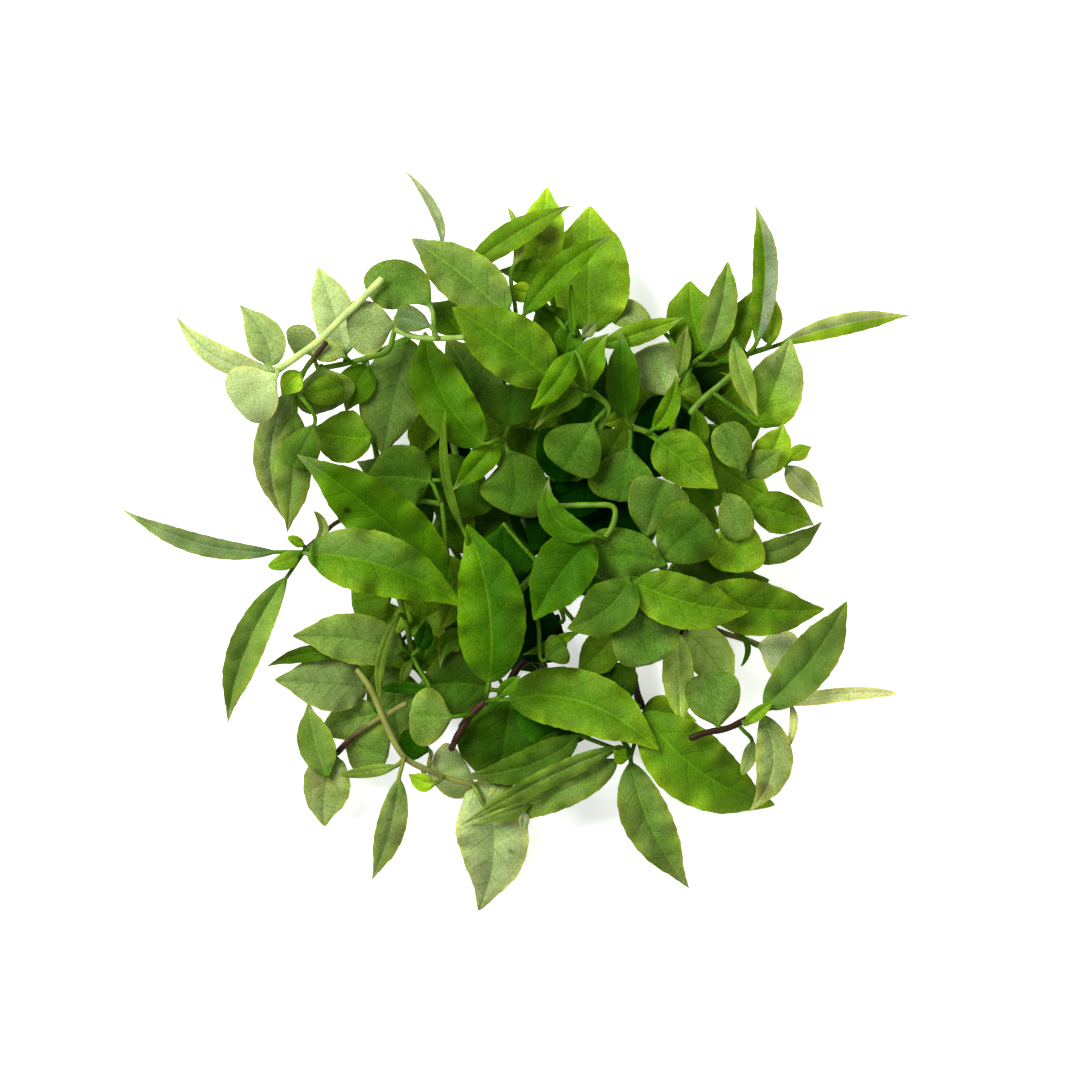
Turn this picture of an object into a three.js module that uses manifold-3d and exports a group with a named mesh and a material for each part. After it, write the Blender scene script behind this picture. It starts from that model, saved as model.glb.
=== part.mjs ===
import * as THREE from 'three';
import { mergeVertices } from 'three/addons/utils/BufferGeometryUtils.js';
import Module from 'manifold-3d';

// A loose heap of young Thai basil sprigs, as it lies on a table.
// Millimetres. +X runs along the heap, +Y across it and +Z up, and the heap lies on Z = 0.
// Every sprig is one solid: its stem with all its petioles and leaves grown together.

// Driving dimensions
const HEAP_LENGTH = 122.6; // from the west tip to the east tip
const HEAP_WIDTH = 115.1;
const BLADE_THICKNESS = 0.8; // at the midrib, thinning to the edge
const PETIOLE_RADIUS = 0.42;
const LEAF_STEP = 0.4; // between leaves that grow one above the other
const PETIOLE_RISE = 1.2; // from the stem to the petiole's first bend
const PETIOLE_SPAN = 6;
const PETIOLE_BLEND = 0.17; // share of the blade over which the petiole flattens into it
const TIP_SHARE = 0.75; // thickness at the tip, as a share of the midrib's
const SPRIG_GAP = 0.4; // clear height between a sprig and what it lies on
const PRESSED = 0.15; // what a leaf on the table is flattened by

// The plan that the sprigs are placed on: x to the east, y to the south
const PLAN_LENGTH = 796;
const PLAN_CENTRE = [515, 537.5];
const PLAN_UNIT = HEAP_LENGTH / PLAN_LENGTH;

// Each leaf's own habit, drawn between two limits
const ROOT_DEPTH = [0.12, 0.3]; // mm past the middle of the stem
const ROLL = [-0.18, 0.18]; // rise of one edge over the other, per mm of half-width
const RISE = [0.08, 0.3]; // slope at which it leaves its joint
const LOOSENESS = [0, 0.5]; // mm of height on top of the gap
const RIPPLE = 0.12; // rise of the edge's waves, per mm of half-width
const RIPPLE_TURN = 0.9; // radians for each mm along the leaf
// Leaves beyond this share of the heap's half-size droop, and from the next share on they droop fully
const DROOP_FROM = 0.6;
const DROOP_FULLY = 0.9;
const DROOP = 0.7; // share of its joint's height that a leaf at the rim comes down
const EASY_FALL = 0.4; // share of its rise that an inner leaf's tip falls below its joint

// Springiness: how fast a leaf or stem may drop away on either side of what it lies on, per mm
const LEAF_BEND = 0.05;
const STEM_BEND = 0.035;
// Round its joint, a leaf may grow through its own sprig
const JOINT_RADIUS = 2.4;
const JOINT_SEARCH = 3; // mm from a joint's place on the plan to the stem that it is on
const END_ROOM = 1.5; // mm kept clear round the end of a stem, for the petioles that rise from it

// Leaf outlines: the half-width follows t^rise * (1 - t)^fall from the base (0) to the tip (1)
const OUTLINES = {
  lance: { rise: 0.75, fall: 1.0, cup: 0.2 },
  ovate: { rise: 0.55, fall: 0.8, cup: 0.14 },
  seed: { rise: 0.85, fall: 0.4, cup: -0.1 },
  strap: { rise: 0.4, fall: 0.6, cup: 0.15 },
};
// Spans along a blade, for leaves up to so many mm long
const SPANS = [[7, 4], [13, 5], [Infinity, 6]];

// The sprigs from the lowest to the highest. The lowest ones lie on the table, and the next ones arch
// over them, by so many mm, and hold up the heap. A leaf is [outline, base, middle, tip, half-width,
// joint, cup], on the plan; without a joint it grows from the end of the stem. Leaves in "below" lie
// under the stem.
const SPRIGS = [
  {
    name: 'lowest_west',
    colour: 0x1c4208,
    stem: { width: 1.1, route: [[480, 600], [462, 565], [446, 530], [440, 495]] },
    leaves: [
      ['ovate', [438, 488], [441, 455], [446, 418], 25],
      ['ovate', [432, 500], [408, 508], [380, 520], 22],
      ['ovate', [440, 538], [420, 550], [398, 566], 23, [446, 530]],
      ['ovate', [470, 556], [487, 526], [501, 491], 30, [462, 565]],
      ['ovate', [472, 608], [450, 622], [420, 630], 24, [479, 598]],
      ['ovate', [486, 606], [508, 634], [548, 674], 28, [477, 594]],
      ['ovate', [432, 476], [424, 446], [417, 404], 11, [440, 500]],
      ['ovate', [494, 594], [517, 580], [524, 538], 20, [477, 594]],
      ['ovate', [448, 514], [454, 530], [464, 554], 17, [447, 520]],
    ],
  },
  {
    name: 'lowest_north',
    colour: 0x1c4208,
    stem: { width: 1.1, route: [[560, 470], [545, 445], [530, 420], [520, 400]] },
    leaves: [
      ['ovate', [514, 396], [502, 412], [488, 450], 22],
      ['ovate', [526, 392], [556, 401], [594, 404], 29],
      ['lance', [554, 440], [588, 421], [606, 356], 21, [545, 445]],
      ['ovate', [526, 427], [527, 454], [540, 484], 25, [530, 420]],
      ['ovate', [553, 478], [543, 512], [530, 558], 28, [559, 468]],
      ['ovate', [568, 476], [590, 500], [612, 530], 24, [557, 464]],
      ['ovate', [530, 380], [545, 350], [538, 300], 19],
      ['ovate', [504, 384], [494, 366], [488, 346], 14],
    ],
  },
  {
    name: 'lowest_east',
    colour: 0x1c4208,
    stem: { width: 1.1, route: [[640, 560], [660, 520], [680, 480], [690, 440], [700, 410]] },
    leaves: [
      ['ovate', [702, 410], [725, 404], [748, 418], 25],
      ['ovate', [692, 404], [656, 408], [604, 424], 25],
      ['ovate', [700, 446], [727, 471], [772, 500], 28, [690, 440]],
      ['ovate', [684, 522], [700, 518], [722, 528], 16, [662, 516]],
      ['ovate', [632, 552], [610, 525], [578, 516], 27, [640, 558]],
      ['lance', [678, 434], [656, 440], [614, 450], 19, [689, 444]],
      ['ovate', [630, 570], [604, 580], [574, 594], 15, [641, 560]],
    ],
  },
  {
    name: 'lowest_south',
    colour: 0x1c4208,
    stem: { width: 1.1, route: [[440, 700], [425, 680], [410, 660], [400, 642]] },
    leaves: [
      ['ovate', [408, 634], [424, 620], [448, 606], 21],
      ['ovate', [392, 640], [384, 664], [386, 696], 24],
      ['ovate', [434, 676], [450, 660], [464, 636], 20, [425, 680]],
      ['ovate', [404, 672], [396, 702], [402, 748], 25, [410, 660]],
      ['ovate', [420, 672], [424, 656], [432, 634], 17, [425, 680]],
      ['ovate', [398, 634], [392, 620], [386, 602], 15],
    ],
  },
  {
    name: 'under_south',
    colour: 0x2c5410,
    arch: 5,
    stem: { width: 1.3, route: [[548, 676], [532, 660], [518, 668], [506, 690]] },
    leaves: [
      ['ovate', [511, 697], [505, 745], [495, 795], 38],
      ['lance', [491, 690], [454, 684], [415, 690], 27],
      ['lance', [480, 650], [452, 640], [440, 668], 9],
      ['ovate', [520, 690], [562, 712], [606, 730], 30],
      ['ovate', [541, 664], [545, 646], [559, 614], 18, [544, 672]],
    ],
  },
  {
    name: 'under_south_east',
    colour: 0x3c5a1c,
    arch: 5,
    stem: { width: 1.3, route: [[629, 628], [631, 660], [634, 680], [641, 707]] },
    leaves: [
      ['ovate', [644, 709], [668, 716], [697, 722], 14],
      ['ovate', [630, 700], [613, 682], [597, 664], 18],
      ['lance', [619, 632], [598, 655], [577, 675], 15, [629, 632]],
      ['seed', [640, 632], [662, 636], [686, 642], 16, [630, 640]],
    ],
  },
  {
    name: 'under_centre',
    colour: 0x1c4208,
    arch: 10,
    stem: { width: 1.2, route: [[470, 640], [510, 600], [545, 560], [572, 510], [590, 470]] },
    leaves: [
      ['ovate', [592, 480], [575, 492], [548, 502], 22],
      ['lance', [556, 528], [538, 522], [520, 520], 21, [560, 535]],
      ['seed', [562, 622], [541, 623], [520, 618], 19, [548, 556]],
      ['lance', [577, 632], [550, 645], [522, 655], 5, [540, 566]],
      ['seed', [545, 660], [555, 652], [566, 645], 12, [530, 580]],
      ['seed', [503, 524], [504, 550], [505, 578], 22, [540, 568]],
      ['ovate', [600, 465], [612, 450], [625, 425], 22],
      ['ovate', [585, 475], [560, 450], [540, 430], 22],
    ],
  },
  {
    name: 'under_west',
    colour: 0x2e5a10,
    arch: 6,
    stem: { width: 1.1, route: [[400, 600], [420, 560], [438, 520], [456, 470], [448, 425]] },
    leaves: [
      ['seed', [392, 594], [374, 600], [351, 605], 19, [402, 592]],
      ['lance', [436, 412], [424, 432], [419, 458], 13],
      ['ovate', [478, 468], [456, 492], [440, 522], 28, [455, 474]],
      ['ovate', [470, 400], [468, 375], [446, 339], 27],
      ['lance', [420, 480], [392, 476], [356, 461], 18, [452, 480]],
      ['ovate', [430, 560], [452, 590], [440, 630], 18, [424, 552]],
    ],
  },
  {
    name: 'under_east',
    colour: 0x2a5a0e,
    arch: 6,
    stem: { width: 1.2, route: [[650, 610], [672, 570], [695, 530], [705, 470], [700, 400]] },
    leaves: [
      ['ovate', [686, 482], [700, 494], [718, 506], 14, [704, 488]],
      ['ovate', [692, 386], [714, 370], [740, 364], 19],
      ['ovate', [690, 560], [706, 558], [720, 556], 20, [682, 552]],
      ['ovate', [690, 410], [666, 438], [638, 484], 30],
      ['lance', [712, 440], [740, 430], [765, 405], 14, [704, 450]],
      ['ovate', [666, 579], [716, 585], [770, 580], 23, [668, 578]],
      ['ovate', [704, 424], [707, 438], [713, 454], 14, [702, 410]],
    ],
  },
  {
    name: 'east_stem_sprig',
    colour: 0x8fa74c,
    stem: { width: 1.0, route: [[690, 616], [718, 631], [740, 638], [757, 644], [774, 652]] },
    leaves: [
      ['ovate', [686, 632], [709, 655], [733, 690], 23, [692, 618]],
      ['lance', [677, 632], [679, 680], [681, 729], 15, [690, 616]],
      ['seed', [757, 646], [775, 650], [793, 660], 21, [750, 642]],
      ['strap', [738, 632], [748, 648], [741, 667], 3, [734, 636]],
    ],
  },
  {
    name: 'stalk_sprig',
    colour: 0x6f8c40,
    stem: { width: 0.9, route: [[373, 350], [362, 367], [361, 395], [364, 420], [373, 440], [377, 457]] },
    leaves: [
      ['ovate', [409, 340], [393, 398], [383, 456], 30, [371, 354]],
      ['lance', [368, 366], [357, 385], [346, 412], 18, [364, 362]],
      ['lance', [372, 438], [342, 437], [308, 429], 25, [374, 443]],
    ],
  },
  {
    name: 'north_east_sprig',
    colour: 0x5c9030,
    stem: { width: 1.0, route: [[672, 430], [676, 405], [683, 385], [690, 366]] },
    leaves: [
      ['seed', [671, 397], [660, 374], [648, 346], 27, [677, 402]],
      ['seed', [678, 393], [687, 389], [699, 384], 17, [682, 388]],
      ['seed', [655, 326], [633, 316], [611, 308], 14, [688, 362]],
      ['ovate', [705, 352], [693, 318], [690, 281], 27],
      ['lance', [680, 377], [683, 350], [687, 326], 8],
      ['ovate', [718, 362], [735, 330], [756, 288], 17],
      ['ovate', [707, 352], [721, 307], [727, 262], 16],
    ],
  },
  {
    name: 'north_round_sprig',
    colour: 0x6f9a1c,
    stem: { width: 1.0, route: [[582, 392], [579, 370], [577, 345]] },
    leaves: [
      ['lance', [600, 346], [645, 332], [684, 318], 11, [578, 353]],
      ['ovate', [589, 332], [589, 268], [590, 205], 41],
      ['ovate', [532, 286], [542, 235], [547, 187], 22],
      ['ovate', [574, 332], [556, 322], [532, 307], 15],
      ['lance', [545, 277], [530, 274], [498, 271], 15, [556, 312]],
      ['lance', [532, 296], [520, 293], [507, 290], 10, [554, 312]],
      ['lance', [566, 354], [568, 338], [571, 318], 13, [578, 358]],
      ['strap', [574, 336], [572, 310], [571, 285], 4],
      ['strap', [583, 338], [590, 330], [596, 324], 6],
    ],
  },
  {
    name: 'centre_north_sprig',
    colour: 0x4c8c22,
    stem: { width: 1.0, route: [[518, 508], [510, 472], [503, 440]] },
    leaves: [
      ['seed', [508, 428], [511, 410], [513, 384], 31],
      ['seed', [507, 450], [516, 480], [510, 514], 33],
      ['lance', [498, 440], [480, 462], [452, 491], 14],
      ['ovate', [484, 444], [442, 394], [425, 331], 27],
    ],
  },
  {
    name: 'north_sprig',
    colour: 0x5e9420,
    stem: { width: 1.0, route: [[548, 374], [532, 346], [516, 319]] },
    leaves: [
      ['strap', [513, 268], [519, 240], [508, 208], 5],
      ['lance', [465, 272], [516, 235], [572, 206], 13],
      ['lance', [442, 245], [434, 209], [401, 166], 5],
      ['lance', [462, 335], [448, 318], [430, 303], 17],
      ['lance', [524, 316], [561, 271], [611, 237], 14, [520, 327]],
      ['ovate', [507, 316], [462, 276], [412, 240], 26],
    ],
  },
  {
    name: 'east_seed_sprig',
    colour: 0x4c8a20,
    stem: { width: 1.0, route: [[740, 562], [737, 530], [736, 502]] },
    leaves: [
      ['lance', [742, 556], [787, 547], [823, 521], 12, [739, 552]],
      ['lance', [748, 506], [783, 513], [814, 525], 20],
      ['seed', [734, 514], [737, 543], [738, 573], 27],
      ['seed', [722, 493], [733, 511], [736, 541], 17],
    ],
  },
  {
    name: 'east_mid_sprig',
    colour: 0x5c9a24,
    stem: { width: 1.0, route: [[692, 470], [670, 450], [650, 434], [631, 427]] },
    leaves: [
      ['lance', [702, 448], [699, 428], [694, 405], 9, [662, 444]],
      ['seed', [630, 446], [624, 474], [620, 502], 31],
      ['lance', [626, 422], [623, 378], [621, 330], 16],
      ['ovate', [656, 440], [682, 460], [718, 489], 25, [650, 434]],
      ['lance', [652, 430], [669, 407], [676, 374], 10, [650, 434]],
    ],
  },
  {
    name: 'crown_north_sprig',
    colour: 0x58961c,
    stem: { width: 1.0, route: [[584, 455], [600, 428], [608, 408], [593, 394]] },
    leaves: [
      ['ovate', [552, 381], [504, 343], [453, 309], 32],
      ['lance', [590, 391], [588, 362], [609, 334], 16],
      ['lance', [586, 396], [562, 404], [534, 430], 9],
      ['seed', [594, 422], [578, 446], [563, 470], 29, [605, 412]],
      ['ovate', [573, 354], [556, 383], [531, 410], 13],
    ],
  },
  {
    name: 'bent_stem_sprig',
    colour: 0x8aa55a,
    stem: { width: 0.95, route: [[397, 317], [394, 333], [388, 351], [372, 357], [345, 364], [318, 369]] },
    leaves: [
      ['ovate', [346, 354], [333, 311], [317, 266], 21, [346, 363]],
      ['seed', [314, 358], [303, 343], [288, 343], 17],
      ['seed', [322, 366], [325, 387], [333, 410], 28],
      ['seed', [346, 358], [332, 352], [312, 352], 11, [350, 362]],
    ],
  },
  {
    name: 'purple_stem_sprig',
    colour: 0x6a8a34,
    stem: { width: 0.9, route: [[327, 343], [315, 358], [306, 370], [297, 388]] },
    leaves: [
      ['lance', [294, 390], [272, 453], [285, 520], 17],
      ['lance', [297, 412], [294, 476], [288, 533], 17],
      ['seed', [303, 396], [322, 392], [345, 386], 14],
      ['seed', [316, 424], [306, 444], [293, 468], 17],
      ['lance', [303, 374], [292, 384], [283, 398], 11, [306, 368]],
    ],
  },
  {
    name: 'pale_petiole_sprig',
    colour: 0x86a63c,
    stem: { width: 0.95, route: [[464, 339], [437, 340], [415, 338], [397, 331]] },
    leaves: [
      ['seed', [432, 310], [405, 287], [368, 295], 25, [436, 339]],
      ['seed', [432, 329], [415, 322], [396, 318], 13, [437, 340]],
      ['seed', [396, 325], [373, 327], [348, 330], 27],
    ],
  },
  {
    name: 'pale_stem_sprig',
    colour: 0xb6c878,
    stem: { width: 1.15, route: [[383, 281], [360, 304], [340, 323], [322, 341], [300, 357], [279, 371]] },
    leaves: [
      ['lance', [272, 368], [265, 338], [240, 305], 18],
      ['lance', [276, 372], [220, 358], [177, 316], 12],
      ['seed', [279, 376], [258, 392], [237, 408], 30],
    ],
  },
  {
    name: 'west_inner_sprig',
    colour: 0x5a8424,
    stem: { width: 0.8, route: [[304, 549], [322, 535], [341, 520], [395, 500], [442, 504]] },
    leaves: [
      ['ovate', [430, 482], [398, 477], [366, 478], 33, undefined, 0.35],
      ['lance', [451, 588], [378, 515], [298, 455], 31],
    ],
  },
  {
    name: 'centre_east_sprig',
    colour: 0x4e8634,
    stem: { width: 1.0, route: [[704, 600], [682, 582], [660, 566], [646, 545]] },
    leaves: [
      ['seed', [645, 538], [654, 508], [664, 480], 30],
      ['seed', [658, 562], [680, 540], [706, 517], 31, [662, 568]],
      ['seed', [666, 566], [628, 555], [588, 563], 28, [660, 566]],
    ],
  },
  {
    name: 'north_east_crown_sprig',
    colour: 0x86a81c,
    stem: { width: 1.0, route: [[690, 414], [702, 400], [729, 377], [746, 356]] },
    leaves: [
      ['lance', [779, 345], [848, 324], [912, 315], 10],
      ['ovate', [768, 345], [770, 320], [773, 297], 11],
      ['ovate', [757, 425], [775, 386], [789, 340], 28, [712, 392], 0.3],
      ['lance', [733, 340], [742, 380], [757, 418], 10],
      ['lance', [755, 345], [764, 270], [755, 206], 13, undefined, 0.5],
    ],
  },
  {
    name: 'east_fan_sprig',
    colour: 0x5c9424,
    stem: { width: 0.9, route: [[726, 436], [735, 458], [747, 478]] },
    leaves: [
      ['lance', [786, 466], [804, 486], [824, 508], 12],
      ['lance', [790, 460], [800, 452], [812, 447], 8],
      ['lance', [757, 474], [773, 449], [782, 424], 18],
      ['lance', [748, 474], [761, 464], [780, 450], 15],
      ['seed', [742, 472], [733, 450], [722, 424], 19],
    ],
  },
  {
    name: 'centre_sprig',
    colour: 0x4c8c18,
    stem: { width: 0.9, route: [[560, 506], [590, 505], [613, 507], [613, 524], [604, 539]] },
    leaves: [
      ['ovate', [592, 540], [560, 575], [534, 620], 29],
      ['lance', [596, 536], [555, 519], [549, 478], 14],
    ],
  },
  {
    name: 'purple_fork_sprig',
    colour: 0x8aa040,
    stem: { width: 0.95, route: [[406, 704], [377, 720], [353, 737], [336, 754]] },
    below: [
      ['ovate', [375, 716], [348, 721], [316, 738], 18, [381, 718]],
      ['seed', [344, 744], [364, 750], [388, 757], 26, [345, 744]],
    ],
    leaves: [
      ['ovate', [335, 755], [325, 792], [324, 828], 22],
      ['lance', [327, 776], [315, 741], [308, 702], 17],
    ],
  },
  {
    name: 'long_stem_sprig',
    colour: 0x84a04c,
    stem: {
      width: 1.0,
      route: [[357, 670], [371, 690], [382, 716], [395, 744], [406, 759], [424, 769], [445, 778], [473, 786]],
    },
    below: [
      ['ovate', [368, 688], [325, 683], [274, 680], 25, [371, 689]],
      ['seed', [426, 778], [447, 773], [466, 764], 28, [422, 769]],
      ['seed', [430, 752], [415, 747], [398, 745], 15, [428, 771]],
    ],
    leaves: [
      ['strap', [396, 766], [368, 772], [340, 775], 6, [401, 758]],
      ['lance', [399, 778], [390, 830], [371, 882], 14, [401, 758]],
      ['lance', [434, 784], [421, 782], [408, 774], 9, [443, 777]],
      ['ovate', [476, 784], [493, 842], [478, 913], 33],
      ['seed', [486, 806], [503, 780], [505, 760], 13],
    ],
  },
  {
    name: 'left_middle_sprig',
    colour: 0x7c9a48,
    stem: { width: 0.9, route: [[398, 596], [406, 624], [412, 655]] },
    leaves: [
      ['strap', [412, 660], [405, 672], [402, 684], 5],
      ['lance', [345, 655], [305, 654], [266, 667], 8],
      ['ovate', [402, 650], [350, 638], [292, 636], 23],
      ['strap', [428, 692], [404, 688], [380, 689], 6],
      ['lance', [418, 650], [424, 636], [426, 618], 9],
      ['strap', [400, 614], [382, 657], [380, 700], 5, [404, 618]],
    ],
  },
  {
    name: 'south_sprig',
    colour: 0x4e8a18,
    stem: { width: 1.0, route: [[602, 688], [614, 720], [631, 755]] },
    leaves: [
      ['lance', [578, 735], [530, 765], [459, 777], 16],
      ['lance', [617, 760], [561, 792], [468, 826], 17],
      ['strap', [524, 812], [524, 822], [523, 830], 5, [530, 806]],
      ['lance', [620, 747], [545, 779], [460, 826], 10],
      ['lance', [627, 758], [621, 756], [613, 750], 8],
      ['lance', [631, 762], [651, 827], [690, 890], 23],
      ['ovate', [645, 714], [702, 773], [776, 806], 33],
    ],
  },
  {
    name: 'centre_south_sprig',
    colour: 0x58941a,
    stem: { width: 1.0, route: [[648, 652], [638, 614], [628, 577]] },
    leaves: [
      ['ovate', [700, 594], [762, 609], [825, 609], 25],
      ['seed', [630, 600], [640, 630], [651, 664], 32],
      ['ovate', [634, 582], [690, 603], [748, 611], 26],
      ['ovate', [628, 580], [604, 611], [567, 628], 24],
    ],
  },
  {
    name: 'south_east_sprig',
    colour: 0x4c8422,
    stem: { width: 1.1, route: [[690, 738], [707, 732], [727, 728], [742, 721], [759, 711]] },
    leaves: [
      ['strap', [775, 704], [840, 695], [899, 694], 7],
      ['strap', [790, 704], [793, 726], [785, 752], 4],
      ['seed', [718, 727], [714, 701], [709, 672], 28, [724, 729]],
      ['strap', [752, 741], [749, 757], [742, 775], 7, [738, 724]],
      ['lance', [761, 714], [773, 765], [749, 812], 17],
      ['ovate', [764, 706], [811, 659], [847, 601], 23],
      ['strap', [744, 724], [758, 712], [771, 702], 6, [742, 721]],
    ],
  },
  {
    name: 'west_sprig',
    colour: 0x6a9c22,
    stem: { width: 0.9, route: [[424, 590], [385, 573], [345, 562], [304, 552]] },
    leaves: [
      ['lance', [278, 552], [196, 543], [119, 508], 10],
      ['lance', [287, 577], [246, 649], [227, 724], 17, undefined, 0.35],
      ['strap', [300, 553], [284, 562], [268, 566], 8],
      ['strap', [305, 546], [297, 541], [288, 537], 5],
      ['strap', [312, 546], [324, 529], [314, 511], 5],
      ['ovate', [309, 554], [387, 567], [465, 606], 29],
    ],
  },
  {
    name: 'crown_sprig',
    colour: 0x4e9418,
    stem: { width: 1.1, route: [[451, 750], [458, 735], [472, 714], [486, 701]] },
    leaves: [
      ['seed', [453, 717], [433, 717], [409, 715], 27, [471, 716]],
      ['ovate', [509, 700], [586, 703], [659, 750], 31],
      ['ovate', [489, 682], [489, 603], [467, 524], 32],
      ['strap', [466, 535], [446, 475], [446, 411], 4.5, [468, 545]],
      ['lance', [498, 697], [508, 686], [521, 675], 7],
    ],
  },
];

const SEED = 20260;

// One number from 0 to 1 for each call, the same in every run
function makeDraw(seed) {
  let state = seed;
  return () => {
    state = (state * 16807) % 2147483647;
    return state / 2147483647;
  };
}

function fromPlan([x, y]) {
  return new THREE.Vector2((x - PLAN_CENTRE[0]) * PLAN_UNIT, (PLAN_CENTRE[1] - y) * PLAN_UNIT);
}

function mix(a, b, share) {
  return a + (b - a) * share;
}

// Relief: the highest surface so far over each square of the table
const CELL = 0.5;
const SPLAT = 0.4; // mm between the points of a triangle that raise the relief
const REACH = 72; // mm from the middle to the side of the relief
const SIDE = Math.round((2 * REACH) / CELL);
const TABLE_LEVEL = -SPRIG_GAP - PRESSED;

function cellOf(value) {
  return Math.min(SIDE - 2, Math.max(1, Math.floor((value + REACH) / CELL)));
}

function highestNear(relief, x, y) {
  const column = cellOf(x);
  const row = cellOf(y);
  let top = -Infinity;
  for (let r = row - 1; r <= row + 1; r += 1) {
    for (let c = column - 1; c <= column + 1; c += 1) {
      top = Math.max(top, relief[r * SIDE + c]);
    }
  }
  return top;
}

function raise(relief, a, b, c) {
  const longest = Math.max(a.distanceTo(b), b.distanceTo(c), c.distanceTo(a));
  const steps = Math.ceil(longest / SPLAT);
  for (let i = 0; i <= steps; i += 1) {
    for (let j = 0; j <= steps - i; j += 1) {
      const u = i / steps;
      const v = j / steps;
      const w = 1 - u - v;
      const cell = cellOf(a.y * w + b.y * u + c.y * v) * SIDE + cellOf(a.x * w + b.x * u + c.x * v);
      relief[cell] = Math.max(relief[cell], a.z * w + b.z * u + c.z * v);
    }
  }
}

// Heights along a springy strip that stays over its floor and drops away from it on a soft curve
function drape(places, floor, free, bend) {
  return places.map((place, i) => {
    const held = floor.map((level, j) => level - bend * (place - places[j]) ** 2);
    return Math.max(free[i], ...held);
  });
}

// A closed solid through rings of equal size, with flat ends, or with a point at its far end
function loft(rings, point) {
  const size = rings[0].length;
  const positions = rings.flat().flatMap((p) => [p.x, p.y, p.z]);
  const index = [];
  for (let i = 0; i + 1 < rings.length; i += 1) {
    for (let j = 0; j < size; j += 1) {
      const a = i * size + j;
      const b = i * size + ((j + 1) % size);
      index.push(a, b + size, b, a, a + size, b + size);
    }
  }
  for (let j = 1; j + 1 < size; j += 1) {
    index.push(0, j, j + 1);
  }
  const last = (rings.length - 1) * size;
  if (point) {
    positions.push(point.x, point.y, point.z);
    for (let j = 0; j < size; j += 1) {
      index.push(last + j, rings.length * size, last + ((j + 1) % size));
    }
  } else {
    for (let j = 1; j + 1 < size; j += 1) {
      index.push(last, last + j + 1, last + j);
    }
  }
  const geometry = new THREE.BufferGeometry();
  geometry.setAttribute('position', new THREE.Float32BufferAttribute(positions, 3));
  geometry.setIndex(index);
  return geometry;
}

// Each triangle of a loft raises the relief under it
function raiseUnder(relief, rings, point) {
  for (let i = 0; i + 1 < rings.length; i += 1) {
    for (let j = 0; j < rings[i].length; j += 1) {
      const k = (j + 1) % rings[i].length;
      raise(relief, rings[i][j], rings[i][k], rings[i + 1][k]);
      raise(relief, rings[i][j], rings[i + 1][k], rings[i + 1][j]);
    }
  }
  if (point) {
    const end = rings[rings.length - 1];
    end.forEach((corner, j) => raise(relief, corner, end[(j + 1) % end.length], point));
  }
}

// Places along a leaf: its joint, the end of the petiole's first bend, and the blade from base to tip
function leafStations(leaf, joint, root) {
  const [outline, base, middle, tip, halfWidth] = leaf;
  const shape = OUTLINES[outline];
  const [start, through, end] = [base, middle, tip].map(fromPlan);
  const control = through.clone().multiplyScalar(2).sub(start.clone().add(end).multiplyScalar(0.5));
  const rib = new THREE.QuadraticBezierCurve(start, control, end);
  const length = rib.getLength();
  const [, spans] = SPANS.find(([limit]) => length <= limit);
  const peakAt = shape.rise / (shape.rise + shape.fall);
  const peak = peakAt ** shape.rise * (1 - peakAt) ** shape.fall;
  const stalk = start.distanceTo(joint);
  const bends = [-root];
  for (let reach = PETIOLE_RISE; reach < stalk - PETIOLE_RISE; reach += PETIOLE_SPAN) {
    bends.push(reach);
  }
  const stations = bends.map((reach) => ({
    at: joint.clone().lerp(start, reach / stalk),
    half: PETIOLE_RADIUS,
    thick: 2 * PETIOLE_RADIUS,
    blade: 0,
  }));
  for (let i = 0; i <= spans; i += 1) {
    const t = (1 - Math.cos((Math.PI * i) / spans)) / 2;
    const width = (halfWidth * PLAN_UNIT * t ** shape.rise * (1 - t) ** shape.fall) / peak;
    const blade = Math.min(1, t / PETIOLE_BLEND);
    stations.push({
      at: rib.getPoint(t),
      half: Math.max(width, mix(PETIOLE_RADIUS, 0, t)),
      thick: mix(2 * PETIOLE_RADIUS, BLADE_THICKNESS, blade) * mix(1, TIP_SHARE, t),
      blade,
    });
  }
  let run = 0;
  stations.forEach((station, i) => {
    const ahead = stations[Math.min(i + 1, stations.length - 1)].at;
    const behind = stations[Math.max(i - 1, 0)].at;
    const along = ahead.clone().sub(behind).normalize();
    station.side = new THREE.Vector2(-along.y, along.x);
    run += i > 0 ? station.at.distanceTo(stations[i - 1].at) : 0;
    station.run = run;
  });
  return stations;
}

// The least height of each station, so that the blade between stations clears what lies under it
function leafFloor(stations, joint, beneath, own, clearance) {
  const floor = stations.map(() => TABLE_LEVEL);
  for (let i = 0; i + 1 < stations.length; i += 1) {
    const [near, far] = [stations[i], stations[i + 1]];
    const steps = Math.max(1, Math.ceil((far.run - near.run) / CELL));
    for (let step = 0; step <= steps; step += 1) {
      const share = step / steps;
      const half = mix(near.half, far.half, share);
      const across = Math.max(1, Math.ceil(half / CELL));
      for (let lane = -across; lane <= across; lane += 1) {
        const v = lane / across;
        const edge = v < 0 ? 'right' : 'left';
        const hang = mix(
          mix(-near.thick / 2, near[edge], Math.abs(v)),
          mix(-far.thick / 2, far[edge], Math.abs(v)),
          share,
        );
        const x = mix(near.at.x + near.side.x * near.half * v, far.at.x + far.side.x * far.half * v, share);
        const y = mix(near.at.y + near.side.y * near.half * v, far.at.y + far.side.y * far.half * v, share);
        let top = highestNear(beneath, x, y);
        if (Math.hypot(x - joint.x, y - joint.y) > JOINT_RADIUS) {
          top = Math.max(top, highestNear(own, x, y));
        }
        const need = top + clearance - hang;
        floor[i] = Math.max(floor[i], need);
        floor[i + 1] = Math.max(floor[i + 1], need);
      }
    }
  }
  return floor;
}

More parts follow.
